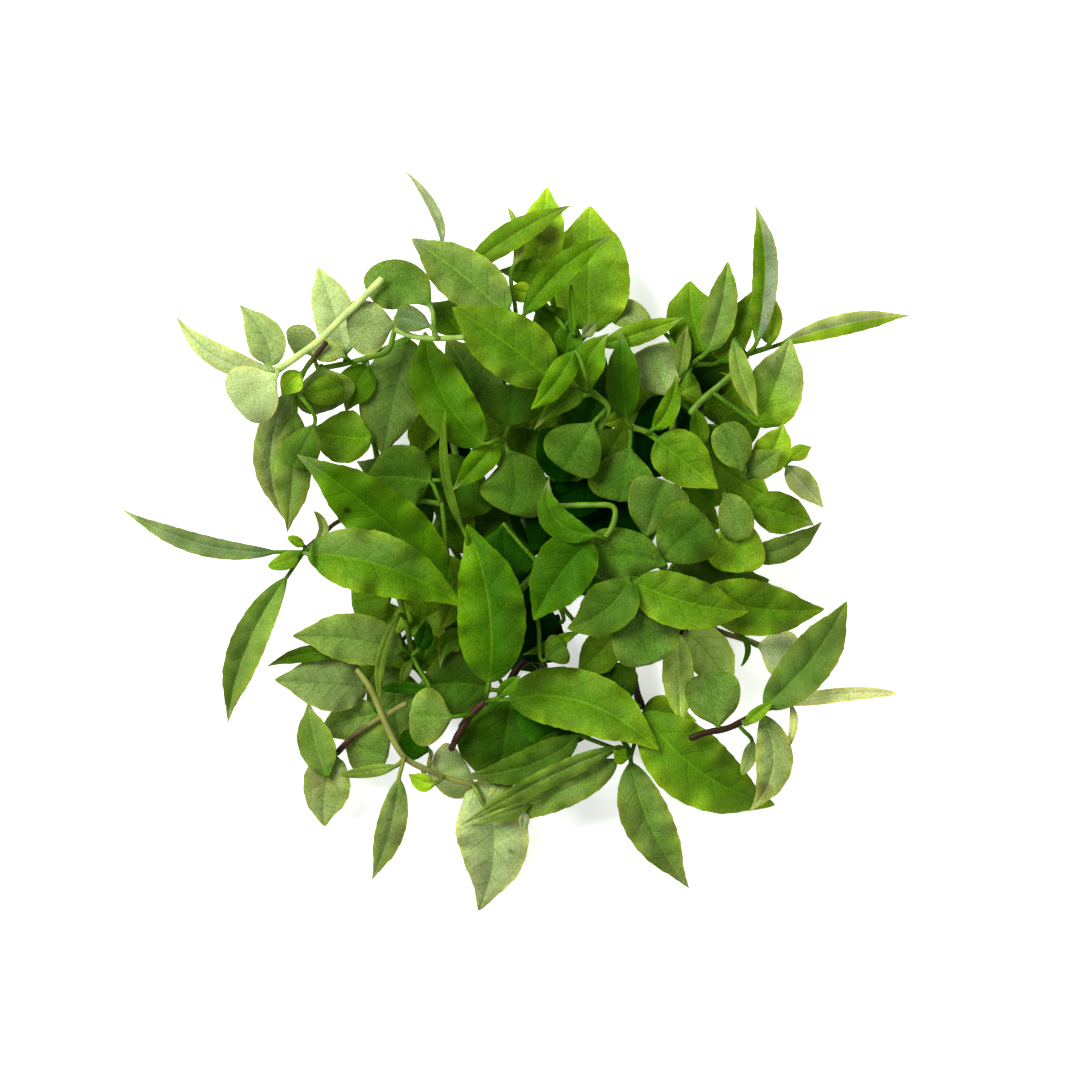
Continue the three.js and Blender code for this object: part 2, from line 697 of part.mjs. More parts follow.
// A leaf laid on what is beneath it; its first ring sits inside the stem at the joint
function layLeaf(leaf, joint, jointHeight, beneath, own, draw) {
  const stations = leafStations(leaf, joint, mix(...ROOT_DEPTH, draw()));
  const cup = leaf[6] ?? OUTLINES[leaf[0]].cup;
  const roll = mix(...ROLL, draw());
  const rise = mix(...RISE, draw());
  const clearance = SPRIG_GAP + mix(...LOOSENESS, draw());
  const wave = mix(0, 2 * Math.PI, draw());
  for (const station of stations) {
    const ripple = RIPPLE * Math.sin(wave + station.run * RIPPLE_TURN);
    station.left = station.blade * station.half * (cup + roll + ripple);
    station.right = station.blade * station.half * (cup - roll - ripple);
  }
  const floor = leafFloor(stations, joint, beneath, own, clearance);
  const runs = stations.map((station) => station.run);
  const whole = runs[runs.length - 1];
  const start = jointHeight ?? floor[0];
  const tip = stations[stations.length - 1].at;
  const out = Math.hypot(tip.x / (HEAP_LENGTH / 2), tip.y / (HEAP_WIDTH / 2));
  const droop = THREE.MathUtils.clamp((out - DROOP_FROM) / (DROOP_FULLY - DROOP_FROM), 0, 1);
  const fall = mix(EASY_FALL * rise * whole, DROOP * start, droop);
  const free = runs.map((run) => start + rise * run * (1 - run / whole) - fall * (run / whole) ** 2);
  const heights = drape(runs, floor, free, LEAF_BEND);
  if (jointHeight !== undefined) {
    heights[0] = jointHeight;
  }
  return { stations, heights };
}

function leafRings({ stations, heights }) {
  const rings = stations.slice(0, -1).map((station, i) => {
    const { at, side, half, thick } = station;
    const z = heights[i];
    return [
      new THREE.Vector3(at.x - side.x * half, at.y - side.y * half, z + station.right),
      new THREE.Vector3(at.x, at.y, z + thick / 2),
      new THREE.Vector3(at.x + side.x * half, at.y + side.y * half, z + station.left),
      new THREE.Vector3(at.x, at.y, z - thick / 2),
    ];
  });
  const tip = stations[stations.length - 1].at;
  return { rings, point: new THREE.Vector3(tip.x, tip.y, heights[heights.length - 1]) };
}

const STEM_SPAN = 4; // mm between the rings of a stem
const STEM_SIDES = 6;
const SPAN_PROBES = 8; // places tried along each span

// A stem laid along its route, over what is beneath it
function layStem({ stem, arch = 0 }, beneath, own, joints) {
  const route = new THREE.SplineCurve(stem.route.map(fromPlan));
  const count = Math.max(3, Math.round(route.getLength() / STEM_SPAN));
  const radius = stem.width / 2;
  const points = route.getSpacedPoints(count);
  const length = route.getLength();
  const runs = points.map((point, i) => (i / count) * length);
  const floor = points.map(() => TABLE_LEVEL + SPRIG_GAP + radius);
  const probes = count * SPAN_PROBES;
  for (let probe = 0; probe <= probes; probe += 1) {
    const at = route.getPointAt(probe / probes);
    const near = Math.min(count - 1, Math.floor(probe / SPAN_PROBES));
    const atEnd = Math.min(probe, probes - probe) < SPAN_PROBES / 2;
    const spread = atEnd ? radius + END_ROOM : radius;
    const clearOfJoints = joints.every((joint) => at.distanceTo(joint) > JOINT_RADIUS);
    for (const [dx, dy] of [[0, 0], [1, 0], [-1, 0], [0, 1], [0, -1]]) {
      let top = highestNear(beneath, at.x + dx * spread, at.y + dy * spread);
      if (clearOfJoints) {
        top = Math.max(top, highestNear(own, at.x + dx * spread, at.y + dy * spread));
      }
      const need = top + SPRIG_GAP + radius;
      floor[near] = Math.max(floor[near], need);
      floor[near + 1] = Math.max(floor[near + 1], need);
    }
  }
  const free = runs.map((run) => (4 * arch * run * (length - run)) / length ** 2);
  const heights = drape(runs, floor, free, STEM_BEND);
  return { points, heights, radius };
}

function stemRings({ points, heights, radius }) {
  return points.map((at, i) => {
    const ahead = points[Math.min(i + 1, points.length - 1)];
    const behind = points[Math.max(i - 1, 0)];
    const along = ahead.clone().sub(behind).normalize();
    return Array.from({ length: STEM_SIDES }, (_, j) => {
      const angle = (2 * Math.PI * j) / STEM_SIDES;
      const out = Math.cos(angle) * radius;
      const up = Math.sin(angle) * radius;
      return new THREE.Vector3(at.x + along.y * out, at.y - along.x * out, heights[i] + up);
    });
  });
}

function stemPointNear({ points, heights }, joint) {
  let best = { distance: Infinity, at: points[0], height: heights[0] };
  for (let i = 0; i + 1 < points.length; i += 1) {
    for (let step = 0; step <= SPAN_PROBES; step += 1) {
      const at = points[i].clone().lerp(points[i + 1], step / SPAN_PROBES);
      const distance = at.distanceTo(joint);
      if (distance < best.distance) {
        best = { distance, at, height: mix(heights[i], heights[i + 1], step / SPAN_PROBES) };
      }
    }
  }
  return best;
}

// A joint is on the stem, or, away from it, on the sprig's own leaf at that place
function findJoint(stem, own, wanted) {
  const onStem = stemPointNear(stem, wanted);
  if (onStem.distance < JOINT_SEARCH) {
    return onStem;
  }
  return { at: wanted, height: highestNear(own, wanted.x, wanted.y) - BLADE_THICKNESS / 2 };
}

const wasm = await Module();
wasm.setup();
const SAME_POINT = 1e-5;

function toSolid(geometry) {
  const merged = mergeVertices(geometry, SAME_POINT);
  return new wasm.Manifold(
    new wasm.Mesh({
      numProp: 3,
      vertProperties: new Float32Array(merged.attributes.position.array),
      triVerts: new Uint32Array(merged.index.array),
    }),
  );
}

// Slivers narrower than this, left where leaves cross, are closed
const SLIVER = 0.025;

// The table's plane trims what is pressed on it to small flat spots
function aboveTable() {
  const size = 4 * REACH;
  const geometry = new THREE.BoxGeometry(size, size, size).deleteAttribute('normal').deleteAttribute('uv');
  geometry.translate(0, 0, size / 2);
  return toSolid(geometry);
}

function largestBody(solid) {
  return solid.decompose().reduce((kept, body) => (body.volume() > kept.volume() ? body : kept));
}

function growSprig(sprig, stack, draw) {
  const beneath = stack.slice();
  const own = new Float64Array(SIDE * SIDE).fill(TABLE_LEVEL);
  const apex = sprig.stem.route[sprig.stem.route.length - 1];
  const below = (sprig.below ?? []).map((leaf) => {
    const joint = fromPlan(leaf[5] ?? apex);
    const laid = layLeaf(leaf, joint, undefined, beneath, own, draw);
    const { rings, point } = leafRings(laid);
    raiseUnder(own, rings, point);
    return { laid, joint };
  });
  const stem = layStem(sprig, beneath, own, below.map(({ joint }) => joint));
  const lofts = [loft(stemRings(stem))];
  raiseUnder(own, stemRings(stem));
  for (const { laid, joint } of below) {
    laid.heights[0] = stemPointNear(stem, joint).height;
    const { rings, point } = leafRings(laid);
    lofts.push(loft(rings, point));
  }
  const taken = [];
  for (const leaf of sprig.leaves) {
    const found = findJoint(stem, own, fromPlan(leaf[5] ?? apex));
    const lower = taken.filter((joint) => joint.distanceTo(found.at) < PETIOLE_RISE).length;
    taken.push(found.at);
    const laid = layLeaf(leaf, found.at, found.height + lower * LEAF_STEP, beneath, own, draw);
    const { rings, point } = leafRings(laid);
    raiseUnder(own, rings, point);
    lofts.push(loft(rings, point));
  }
  own.forEach((level, cell) => {
    stack[cell] = Math.max(stack[cell], level);
  });
  return lofts.map(toSolid).reduce((joined, solid) => joined.add(solid));
}

function toMesh(name, solid, colour) {
  const { vertProperties, triVerts } = solid.getMesh();
  const geometry = new THREE.BufferGeometry();
  geometry.setAttribute('position', new THREE.BufferAttribute(new Float32Array(vertProperties), 3));
  geometry.setIndex(new THREE.BufferAttribute(new Uint32Array(triVerts), 1));
  geometry.computeVertexNormals();
  const material = new THREE.MeshStandardMaterial({ color: colour, roughness: 0.55, metalness: 0 });
  const mesh = new THREE.Mesh(geometry, material);
  mesh.name = name;
  return mesh;
}

function growHeap() {
  const draw = makeDraw(SEED);
  const stack = new Float64Array(SIDE * SIDE).fill(TABLE_LEVEL);
  const table = aboveTable();
  const heap = new THREE.Group();
  heap.name = 'thai_basil';
  for (const sprig of SPRIGS) {
    const solid = largestBody(growSprig(sprig, stack, draw).intersect(table).simplify(SLIVER));
    heap.add(toMesh(sprig.name, solid, sprig.colour));
  }
  const box = new THREE.Box3().setFromObject(heap);
  const middle = box.getCenter(new THREE.Vector3());
  heap.children.forEach((mesh) => mesh.geometry.translate(-middle.x, -middle.y, 0));
  return heap;
}

export default growHeap();
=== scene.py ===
import math

import bpy
import numpy as np
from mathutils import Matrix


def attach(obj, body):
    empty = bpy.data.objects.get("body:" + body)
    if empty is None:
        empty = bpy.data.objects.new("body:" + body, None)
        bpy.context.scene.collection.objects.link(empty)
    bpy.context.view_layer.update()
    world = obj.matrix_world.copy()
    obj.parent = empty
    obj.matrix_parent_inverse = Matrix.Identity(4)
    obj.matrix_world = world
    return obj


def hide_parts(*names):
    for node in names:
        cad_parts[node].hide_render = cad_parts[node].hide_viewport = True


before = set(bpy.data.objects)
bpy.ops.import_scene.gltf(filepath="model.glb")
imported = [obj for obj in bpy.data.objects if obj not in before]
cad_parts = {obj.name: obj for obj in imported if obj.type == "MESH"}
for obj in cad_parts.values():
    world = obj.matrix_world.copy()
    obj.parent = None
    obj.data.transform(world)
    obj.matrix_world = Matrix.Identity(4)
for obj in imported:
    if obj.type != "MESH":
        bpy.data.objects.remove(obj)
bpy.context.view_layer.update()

# A loose heap of young Thai basil sprigs. Each sprig is laid by the same rule and the same draws as
# its solid, and gets thin leaves with veins, teeth and puckers, round stems and fine hairs.
# Lengths are in millimetres until a mesh is made.

MM = 0.001
HEAP_LENGTH = 122.6
HEAP_WIDTH = 115.1
SOLID_THICKNESS = 0.8
PETIOLE_RADIUS = 0.42
LEAF_STEP = 0.4
PETIOLE_RISE = 1.2
PETIOLE_SPAN = 6
PETIOLE_BLEND = 0.17
TIP_SHARE = 0.75
SPRIG_GAP = 0.4
PRESSED = 0.15
PLAN_LENGTH = 796
PLAN_CENTRE = np.array([515, 537.5])
PLAN_UNIT = HEAP_LENGTH / PLAN_LENGTH
ROOT_DEPTH = (0.12, 0.3)
ROLL = (-0.18, 0.18)
RISE = (0.08, 0.3)
LOOSENESS = (0, 0.5)
RIPPLE = 0.12
RIPPLE_TURN = 0.9
DROOP_FROM = 0.6
DROOP_FULLY = 0.9
DROOP = 0.7
EASY_FALL = 0.4
LEAF_BEND = 0.05
STEM_BEND = 0.035
JOINT_RADIUS = 2.4
JOINT_SEARCH = 3
END_ROOM = 1.5
STEM_SPAN = 4
STEM_SIDES = 6
SPAN_PROBES = 8
SEED = 20260
CELL = 0.5
SPLAT = 0.4
REACH = 72
SIDE = round(2 * REACH / CELL)
TABLE_LEVEL = -SPRIG_GAP - PRESSED

# Half-width t^rise * (1 - t)^fall from the base of a blade to its tip, and how far its edges turn up
OUTLINES = {
    "lance": (0.75, 1.0, 0.2),
    "ovate": (0.55, 0.8, 0.14),
    "seed": (0.85, 0.4, -0.1),
    "strap": (0.4, 0.6, 0.15),
}
# Blades up to each length have this many spans along them
SPANS = ((7, 4), (13, 5), (math.inf, 6))

# Leaf colours, from the lowest shaded leaves to the youngest pale ones. The darkest, shade and deep, are
# painted shade: they stand for the deep shadow inside the heap
TINTS = {
    "shade": "#052100",
    "deep": "#1B4202",
    "dark": "#2F4B09",
    "mid": "#345906",
    "moss": "#3A5513",
    "fresh": "#446905",
    "lively": "#527211",
    "bright": "#77991B",
    "olive": "#4B6523",
    "seed": "#415F18",
    "soft": "#536B2A",
    "under": "#617932",
    "pale": "#687B41",
    "grey": "#66755C",
    "silver": "#78894E",
    "cream": "#96A56B",
    "straw": "#9AB256",
    "milk": "#BCCA98",
    "blue": "#556841",
}
STALKS = {
    "green": "#4B6A16",
    "mint": "#728A3C",
    "cream": "#93A45C",
    "beige": "#6C7034",
    "purple": "#301C10",
    "brown": "#241508",
}


def sprig(name, width, stalk, route, *leaves, below=(), arch=0):
    return {
        "name": name, "width": width, "stalk": stalk, "route": route,
        "leaves": leaves, "below": below, "arch": arch,
    }


def outlined(outline):
    """A maker of table rows for leaves of one outline."""
    def leaf(base, middle, tip, half_width, tint, joint=None, cup=OUTLINES[outline][2], **finish):
        return {
            "outline": outline, "base": base, "middle": middle, "tip": tip, "half_width": half_width,
            "tint": tint, "joint": joint, "cup": cup, "finish": finish,
        }

    return leaf


lance, ovate, seed, strap = (outlined(outline) for outline in OUTLINES)

# From the lowest to the highest: name, width of the stem in mm, its colours, its route and its leaves on
# the plan, each from base to tip with its half-width. Those "below" lie under the stem.
SPRIGS = [
    sprig(
        "lowest_west", 1.1, ("green", "green"),
        [(480, 600), (462, 565), (446, 530), (440, 495)],
        ovate((438, 488), (441, 455), (446, 418), 25, "shade"),
        ovate((432, 500), (408, 508), (380, 520), 22, "fresh"),
        ovate((440, 538), (420, 550), (398, 566), 23, "shade", joint=(446, 530)),
        ovate((470, 556), (487, 526), (501, 491), 30, "fresh", joint=(462, 565)),
        ovate((472, 608), (450, 622), (420, 630), 24, "lively", joint=(479, 598)),
        ovate((486, 606), (508, 634), (548, 674), 28, "deep", joint=(477, 594)),
        ovate((432, 476), (424, 446), (417, 404), 11, "fresh", joint=(440, 500)),
        ovate((494, 594), (517, 580), (524, 538), 20, "shade", joint=(477, 594)),
        ovate((448, 514), (454, 530), (464, 554), 17, "fresh", joint=(447, 520)),
    ),
    sprig(
        "lowest_north", 1.1, ("green", "green"),
        [(560, 470), (545, 445), (530, 420), (520, 400)],
        ovate((514, 396), (502, 412), (488, 450), 22, "bright"),
        ovate((526, 392), (556, 401), (594, 404), 29, "bright"),
        lance((554, 440), (588, 421), (606, 356), 21, "deep", joint=(545, 445)),
        ovate((526, 427), (527, 454), (540, 484), 25, "lively", joint=(530, 420)),
        ovate((553, 478), (543, 512), (530, 558), 28, "shade", joint=(559, 468)),
        ovate((568, 476), (590, 500), (612, 530), 24, "shade", joint=(557, 464)),
        ovate((530, 380), (545, 350), (538, 300), 19, "dark"),
        ovate((504, 384), (494, 366), (488, 346), 14, "deep"),
    ),
    sprig(
        "lowest_east", 1.1, ("green", "green"),
        [(640, 560), (660, 520), (680, 480), (690, 440), (700, 410)],
        ovate((702, 410), (725, 404), (748, 418), 25, "bright"),
        ovate((692, 404), (656, 408), (604, 424), 25, "bright"),
        ovate((700, 446), (727, 471), (772, 500), 28, "bright", joint=(690, 440)),
        ovate((684, 522), (700, 518), (722, 528), 16, "bright", joint=(662, 516)),
        ovate((632, 552), (610, 525), (578, 516), 27, "shade", joint=(640, 558)),
        lance((678, 434), (656, 440), (614, 450), 19, "deep", joint=(689, 444)),
        ovate((630, 570), (604, 580), (574, 594), 15, "deep", joint=(641, 560)),
    ),
    sprig(
        "lowest_south", 1.1, ("green", "green"),
        [(440, 700), (425, 680), (410, 660), (400, 642)],
        ovate((408, 634), (424, 620), (448, 606), 21, "bright"),
        ovate((392, 640), (384, 664), (386, 696), 24, "bright"),
        ovate((434, 676), (450, 660), (464, 636), 20, "deep", joint=(425, 680)),
        ovate((404, 672), (396, 702), (402, 748), 25, "under", joint=(410, 660)),
        ovate((420, 672), (424, 656), (432, 634), 17, "fresh", joint=(425, 680)),
        ovate((398, 634), (392, 620), (386, 602), 15, "bright"),
    ),
    sprig(
        "under_south", 1.3, ("brown", "brown"),
        [(548, 676), (532, 660), (518, 668), (506, 690)],
        ovate((511, 697), (505, 745), (495, 795), 38, "dark"),
        lance((491, 690), (454, 684), (415, 690), 27, "moss"),
        lance((480, 650), (452, 640), (440, 668), 9, "dark"),
        ovate((520, 690), (562, 712), (606, 730), 30, "deep"),
        ovate((541, 664), (545, 646), (559, 614), 18, "shade", joint=(544, 672)),
        arch=5,
    ),
    sprig(
        "under_south_east", 1.3, ("brown", "brown"),
        [(629, 628), (631, 660), (634, 680), (641, 707)],
        ovate((644, 709), (668, 716), (697, 722), 14, "bright"),
        ovate((630, 700), (613, 682), (597, 664), 18, "dark"),
        lance((619, 632), (598, 655), (577, 675), 15, "lively", joint=(629, 632)),
        seed((640, 632), (662, 636), (686, 642), 16, "shade", joint=(630, 640)),
        arch=5,
    ),
    sprig(
        "under_centre", 1.2, ("green", "green"),
        [(470, 640), (510, 600), (545, 560), (572, 510), (590, 470)],
        ovate((592, 480), (575, 492), (548, 502), 22, "shade"),
        lance((556, 528), (538, 522), (520, 520), 21, "shade", joint=(560, 535)),
        seed((562, 622), (541, 623), (520, 618), 19, "shade", joint=(548, 556)),
        lance((577, 632), (550, 645), (522, 655), 5, "fresh", joint=(540, 566)),
        seed((545, 660), (555, 652), (566, 645), 12, "moss", joint=(530, 580)),
        seed((503, 524), (504, 550), (505, 578), 22, "deep", joint=(540, 568)),
        ovate((600, 465), (612, 450), (625, 425), 22, "lively"),
        ovate((585, 475), (560, 450), (540, 430), 22, "shade"),
        arch=10,
    ),
    sprig(
        "under_west", 1.1, ("green", "green"),
        [(400, 600), (420, 560), (438, 520), (456, 470), (448, 425)],
        seed((392, 594), (374, 600), (351, 605), 19, "lively", joint=(402, 592)),
        lance((436, 412), (424, 432), (419, 458), 13, "bright"),
        ovate((478, 468), (456, 492), (440, 522), 28, "dark", joint=(455, 474)),
        ovate((470, 400), (468, 375), (446, 339), 27, "olive"),
        lance((420, 480), (392, 476), (356, 461), 18, "fresh", joint=(452, 480)),
        ovate((430, 560), (452, 590), (440, 630), 18, "lively", joint=(424, 552)),
        arch=6,
    ),
    sprig(
        "under_east", 1.2, ("green", "brown"),
        [(650, 610), (672, 570), (695, 530), (705, 470), (700, 400)],
        ovate((686, 482), (700, 494), (718, 506), 14, "fresh", joint=(704, 488)),
        ovate((692, 386), (714, 370), (740, 364), 19, "shade", far="dark"),
        ovate((690, 560), (706, 558), (720, 556), 20, "mid", joint=(682, 552)),
        ovate((690, 410), (666, 438), (638, 484), 30, "shade"),
        lance((712, 440), (740, 430), (765, 405), 14, "dark", joint=(704, 450)),
        ovate((666, 579), (716, 585), (770, 580), 23, "moss", joint=(668, 578)),
        ovate((704, 424), (707, 438), (713, 454), 14, "fresh", joint=(702, 410)),
        arch=6,
    ),
    sprig(
        "east_stem_sprig", 1.0, ("brown", "beige"),
        [(690, 616), (718, 631), (740, 638), (757, 644), (774, 652)],
        ovate((686, 632), (709, 655), (733, 690), 23, "straw", joint=(692, 618), under=1),
        lance((677, 632), (679, 680), (681, 729), 15, "straw", joint=(690, 616)),
        seed((757, 646), (775, 650), (793, 660), 21, "milk", joint=(750, 642)),
        strap((738, 632), (748, 648), (741, 667), 3, "mid", joint=(734, 636)),
    ),
    sprig(
        "stalk_sprig", 0.9, ("green", "green"),
        [(373, 350), (362, 367), (361, 395), (364, 420), (373, 440), (377, 457)],
        ovate((409, 340), (393, 398), (383, 456), 30, "soft", joint=(371, 354), under=1),
        lance((368, 366), (357, 385), (346, 412), 18, "fresh", joint=(364, 362)),
        lance((372, 438), (342, 437), (308, 429), 25, "lively", joint=(374, 443)),
    ),
    sprig(
        "north_east_sprig", 1.0, ("green", "green"),
        [(672, 430), (676, 405), (683, 385), (690, 366)],
        # Partly painted light: this seed leaf lies in the shade of leaves above it, and its silver tint
        # lightens it
        seed((671, 397), (660, 374), (648, 346), 27, "silver", joint=(677, 402)),
        seed((678, 393), (687, 389), (699, 384), 17, "lively", joint=(682, 388)),
        seed((655, 326), (633, 316), (611, 308), 14, "pale", joint=(688, 362)),
        ovate((705, 352), (693, 318), (690, 281), 27, "lively"),
        lance((680, 377), (683, 350), (687, 326), 8, "soft"),
        ovate((718, 362), (735, 330), (756, 288), 17, "lively"),
        ovate((707, 352), (721, 307), (727, 262), 16, "under"),
    ),
    sprig(
        "north_round_sprig", 1.0, ("green", "green"),
        [(582, 392), (579, 370), (577, 345)],
        lance((600, 346), (645, 332), (684, 318), 11, "lively", joint=(578, 353)),
        ovate((589, 332), (589, 268), (590, 205), 41, "bright"),
        ovate((532, 286), (542, 235), (547, 187), 22, "bright", spot=(547, 234, 17, "#2A1E0A", 0.8)),
        ovate((574, 332), (556, 322), (532, 307), 15, "mid"),
        lance((545, 277), (530, 274), (498, 271), 15, "fresh", joint=(556, 312)),
        lance((532, 296), (520, 293), (507, 290), 10, "bright", joint=(554, 312)),
        lance((566, 354), (568, 338), (571, 318), 13, "mid", joint=(578, 358)),
        strap((574, 336), (572, 310), (571, 285), 4, "mid"),
        strap((583, 338), (590, 330), (596, 324), 6, "blue"),
    ),
    sprig(
        "centre_north_sprig", 1.0, ("green", "green"),
        [(518, 508), (510, 472), (503, 440)],
        seed((508, 428), (511, 410), (513, 384), 31, "dark"),
        seed((507, 450), (516, 480), (510, 514), 33, "moss"),
        lance((498, 440), (480, 462), (452, 491), 14, "fresh"),
        ovate((484, 444), (442, 394), (425, 331), 27, "fresh"),
    ),
    sprig(
        "north_sprig", 1.0, ("green", "green"),
        [(548, 374), (532, 346), (516, 319)],
        strap((513, 268), (519, 240), (508, 208), 5, "under"),
        lance((465, 272), (516, 235), (572, 206), 13, "lively"),
        lance((442, 245), (434, 209), (401, 166), 5, "grey"),
        lance((462, 335), (448, 318), (430, 303), 17, "fresh"),
        lance((524, 316), (561, 271), (611, 237), 14, "fresh", joint=(520, 327), tip_tint="blue"),
        ovate((507, 316), (462, 276), (412, 240), 26, "under", tip_tint="grey"),
    ),
    sprig(
        "east_seed_sprig", 1.0, ("green", "green"),
        [(740, 562), (737, 530), (736, 502)],
        lance((742, 556), (787, 547), (823, 521), 12, "soft", joint=(739, 552)),
        lance((748, 506), (783, 513), (814, 525), 20, "lively"),
        seed((734, 514), (737, 543), (738, 573), 27, "bright"),
        seed((722, 493), (733, 511), (736, 541), 17, "soft"),
    ),
    sprig(
        "east_mid_sprig", 1.0, ("green", "green"),
        [(692, 470), (670, 450), (650, 434), (631, 427)],
        lance((702, 448), (699, 428), (694, 405), 9, "fresh", joint=(662, 444)),
        seed((630, 446), (624, 474), (620, 502), 31, "seed"),
        lance((626, 422), (623, 378), (621, 330), 16, "mid"),
        ovate((656, 440), (682, 460), (718, 489), 25, "lively", joint=(650, 434)),
        lance((652, 430), (669, 407), (676, 374), 10, "fresh", joint=(650, 434)),
    ),
    sprig(
        "crown_north_sprig", 1.0, ("green", "green"),
        [(584, 455), (600, 428), (608, 408), (593, 394)],
        ovate((552, 381), (504, 343), (453, 309), 32, "lively"),
        lance((590, 391), (588, 362), (609, 334), 16, "fresh"),
        lance((586, 396), (562, 404), (534, 430), 9, "dark"),
        seed((594, 422), (578, 446), (563, 470), 29, "seed", joint=(605, 412)),
        ovate((573, 354), (556, 383), (531, 410), 13, "fresh"),
    ),
    sprig(
        "bent_stem_sprig", 0.95, ("green", "green"),
        [(397, 317), (394, 333), (388, 351), (372, 357), (345, 364), (318, 369)],
        ovate((346, 354), (333, 311), (317, 266), 21, "cream", joint=(346, 363), under=1),
        seed((314, 358), (303, 343), (288, 343), 17, "silver", under=1),
        seed((322, 366), (325, 387), (333, 410), 28, "under"),
        seed((346, 358), (332, 352), (312, 352), 11, "silver", joint=(350, 362)),
    ),
    sprig(
        "purple_stem_sprig", 0.9, ("purple", "green"),
        [(327, 343), (315, 358), (306, 370), (297, 388)],
        lance((294, 390), (272, 453), (285, 520), 17, "silver"),
        lance((297, 412), (294, 476), (288, 533), 17, "under"),
        seed((303, 396), (322, 392), (345, 386), 14, "lively"),
        seed((316, 424), (306, 444), (293, 468), 17, "seed"),
        lance((303, 374), (292, 384), (283, 398), 11, "bright", joint=(306, 368)),
    ),
    sprig(
        "pale_petiole_sprig", 0.95, ("mint", "mint"),
        [(464, 339), (437, 340), (415, 338), (397, 331)],
        seed((432, 310), (405, 287), (368, 295), 25, "olive", joint=(436, 339)),
        seed((432, 329), (415, 322), (396, 318), 13, "blue", joint=(437, 340)),
        seed((396, 325), (373, 327), (348, 330), 27, "silver", under=1),
    ),
    sprig(
        "pale_stem_sprig", 1.15, ("cream", "cream"),
        [(383, 281), (360, 304), (340, 323), (322, 341), (300, 357), (279, 371)],
        lance((272, 368), (265, 338), (240, 305), 18, "silver", under=1),
        lance((276, 372), (220, 358), (177, 316), 12, "cream", under=1),
        seed((279, 376), (258, 392), (237, 408), 30, "cream", under=1),
    ),
    sprig(
        "west_inner_sprig", 0.8, ("purple", "green"),
        [(304, 549), (322, 535), (341, 520), (395, 500), (442, 504)],
        ovate((430, 482), (398, 477), (366, 478), 33, "moss", cup=0.35),
        lance((451, 588), (378, 515), (298, 455), 31, "fresh", spot=(348, 511, 4.5, "#0A0C06", 0.85)),
    ),
    sprig(
        "centre_east_sprig", 1.0, ("green", "green"),
        [(704, 600), (682, 582), (660, 566), (646, 545)],
        seed((645, 538), (654, 508), (664, 480), 30, "olive"),
        seed((658, 562), (680, 540), (706, 517), 31, "moss", joint=(662, 568)),
        seed((666, 566), (628, 555), (588, 563), 28, "seed", joint=(660, 566)),
    ),
    sprig(
        "north_east_crown_sprig", 1.0, ("green", "green"),
        [(690, 414), (702, 400), (729, 377), (746, 356)],
        lance((779, 345), (848, 324), (912, 315), 10, "cream", right="bright"),
        ovate((768, 345), (770, 320), (773, 297), 11, "bright"),
        ovate((757, 425), (775, 386), (789, 340), 28, "bright", joint=(712, 392), cup=0.3, far="silver"),
        lance((733, 340), (742, 380), (757, 418), 10, "under"),
        lance((755, 345), (764, 270), (755, 206), 13, "lively", cup=0.5, right="grey"),
    ),
    sprig(
        "east_fan_sprig", 0.9, ("green", "green"),
        [(726, 436), (735, 458), (747, 478)],
        lance((786, 466), (804, 486), (824, 508), 12, "cream"),
        lance((790, 460), (800, 452), (812, 447), 8, "bright"),
        lance((757, 474), (773, 449), (782, 424), 18, "bright"),
        lance((748, 474), (761, 464), (780, 450), 15, "soft"),
        seed((742, 472), (733, 450), (722, 424), 19, "olive"),
    ),
    sprig(
        "centre_sprig", 0.9, ("green", "green"),
        [(560, 506), (590, 505), (613, 507), (613, 524), (604, 539)],
        ovate((592, 540), (560, 575), (534, 620), 29, "mid"),
        lance((596, 536), (555, 519), (549, 478), 14, "mid"),
    ),
    sprig(
        "purple_fork_sprig", 0.95, ("beige", "purple"),
        [(406, 704), (377, 720), (353, 737), (336, 754)],
        ovate((335, 755), (325, 792), (324, 828), 22, "silver", spot=(325, 785, 20, "#7A5A34", 0.3)),
        lance((327, 776), (315, 741), (308, 702), 17, "soft"),
        below=[
            ovate((375, 716), (348, 721), (316, 738), 18, "under", joint=(381, 718)),
            seed((344, 744), (364, 750), (388, 757), 26, "under", joint=(345, 744)),
        ],
    ),
    sprig(
        "long_stem_sprig", 1.0, ("beige", "beige"),
        [(357, 670), (371, 690), (382, 716), (395, 744), (406, 759), (424, 769), (445, 778), (473, 786)],
        strap((396, 766), (368, 772), (340, 775), 6, "soft", joint=(401, 758)),
        lance((399, 778), (390, 830), (371, 882), 14, "pale", joint=(401, 758)),
        lance((434, 784), (421, 782), (408, 774), 9, "bright", joint=(443, 777)),
        ovate((476, 784), (493, 842), (478, 913), 33, "cream", under=1, spot=(512, 852, 4.5, "#1C260E", 0.7)),
        seed((486, 806), (503, 780), (505, 760), 13, "pale"),
        below=[
            ovate((368, 688), (325, 683), (274, 680), 25, "pale", joint=(371, 689), under=1),
            seed((426, 778), (447, 773), (466, 764), 28, "cream", joint=(422, 769)),
            seed((430, 752), (415, 747), (398, 745), 15, "deep", joint=(428, 771)),
        ],
    ),
    sprig(
        "left_middle_sprig", 0.9, ("green", "green"),
        [(398, 596), (406, 624), (412, 655)],
        strap((412, 660), (405, 672), (402, 684), 5, "olive"),
        lance((345, 655), (305, 654), (266, 667), 8, "dark"),
        ovate((402, 650), (350, 638), (292, 636), 23, "under", under=1),
        strap((428, 692), (404, 688), (380, 689), 6, "deep"),
        lance((418, 650), (424, 636), (426, 618), 9, "deep"),
        strap((400, 614), (382, 657), (380, 700), 5, "olive", joint=(404, 618)),
    ),
    sprig(
        "south_sprig", 1.0, ("green", "green"),
        [(602, 688), (614, 720), (631, 755)],
        lance((578, 735), (530, 765), (459, 777), 16, "moss"),
        lance((617, 760), (561, 792), (468, 826), 17, "under"),
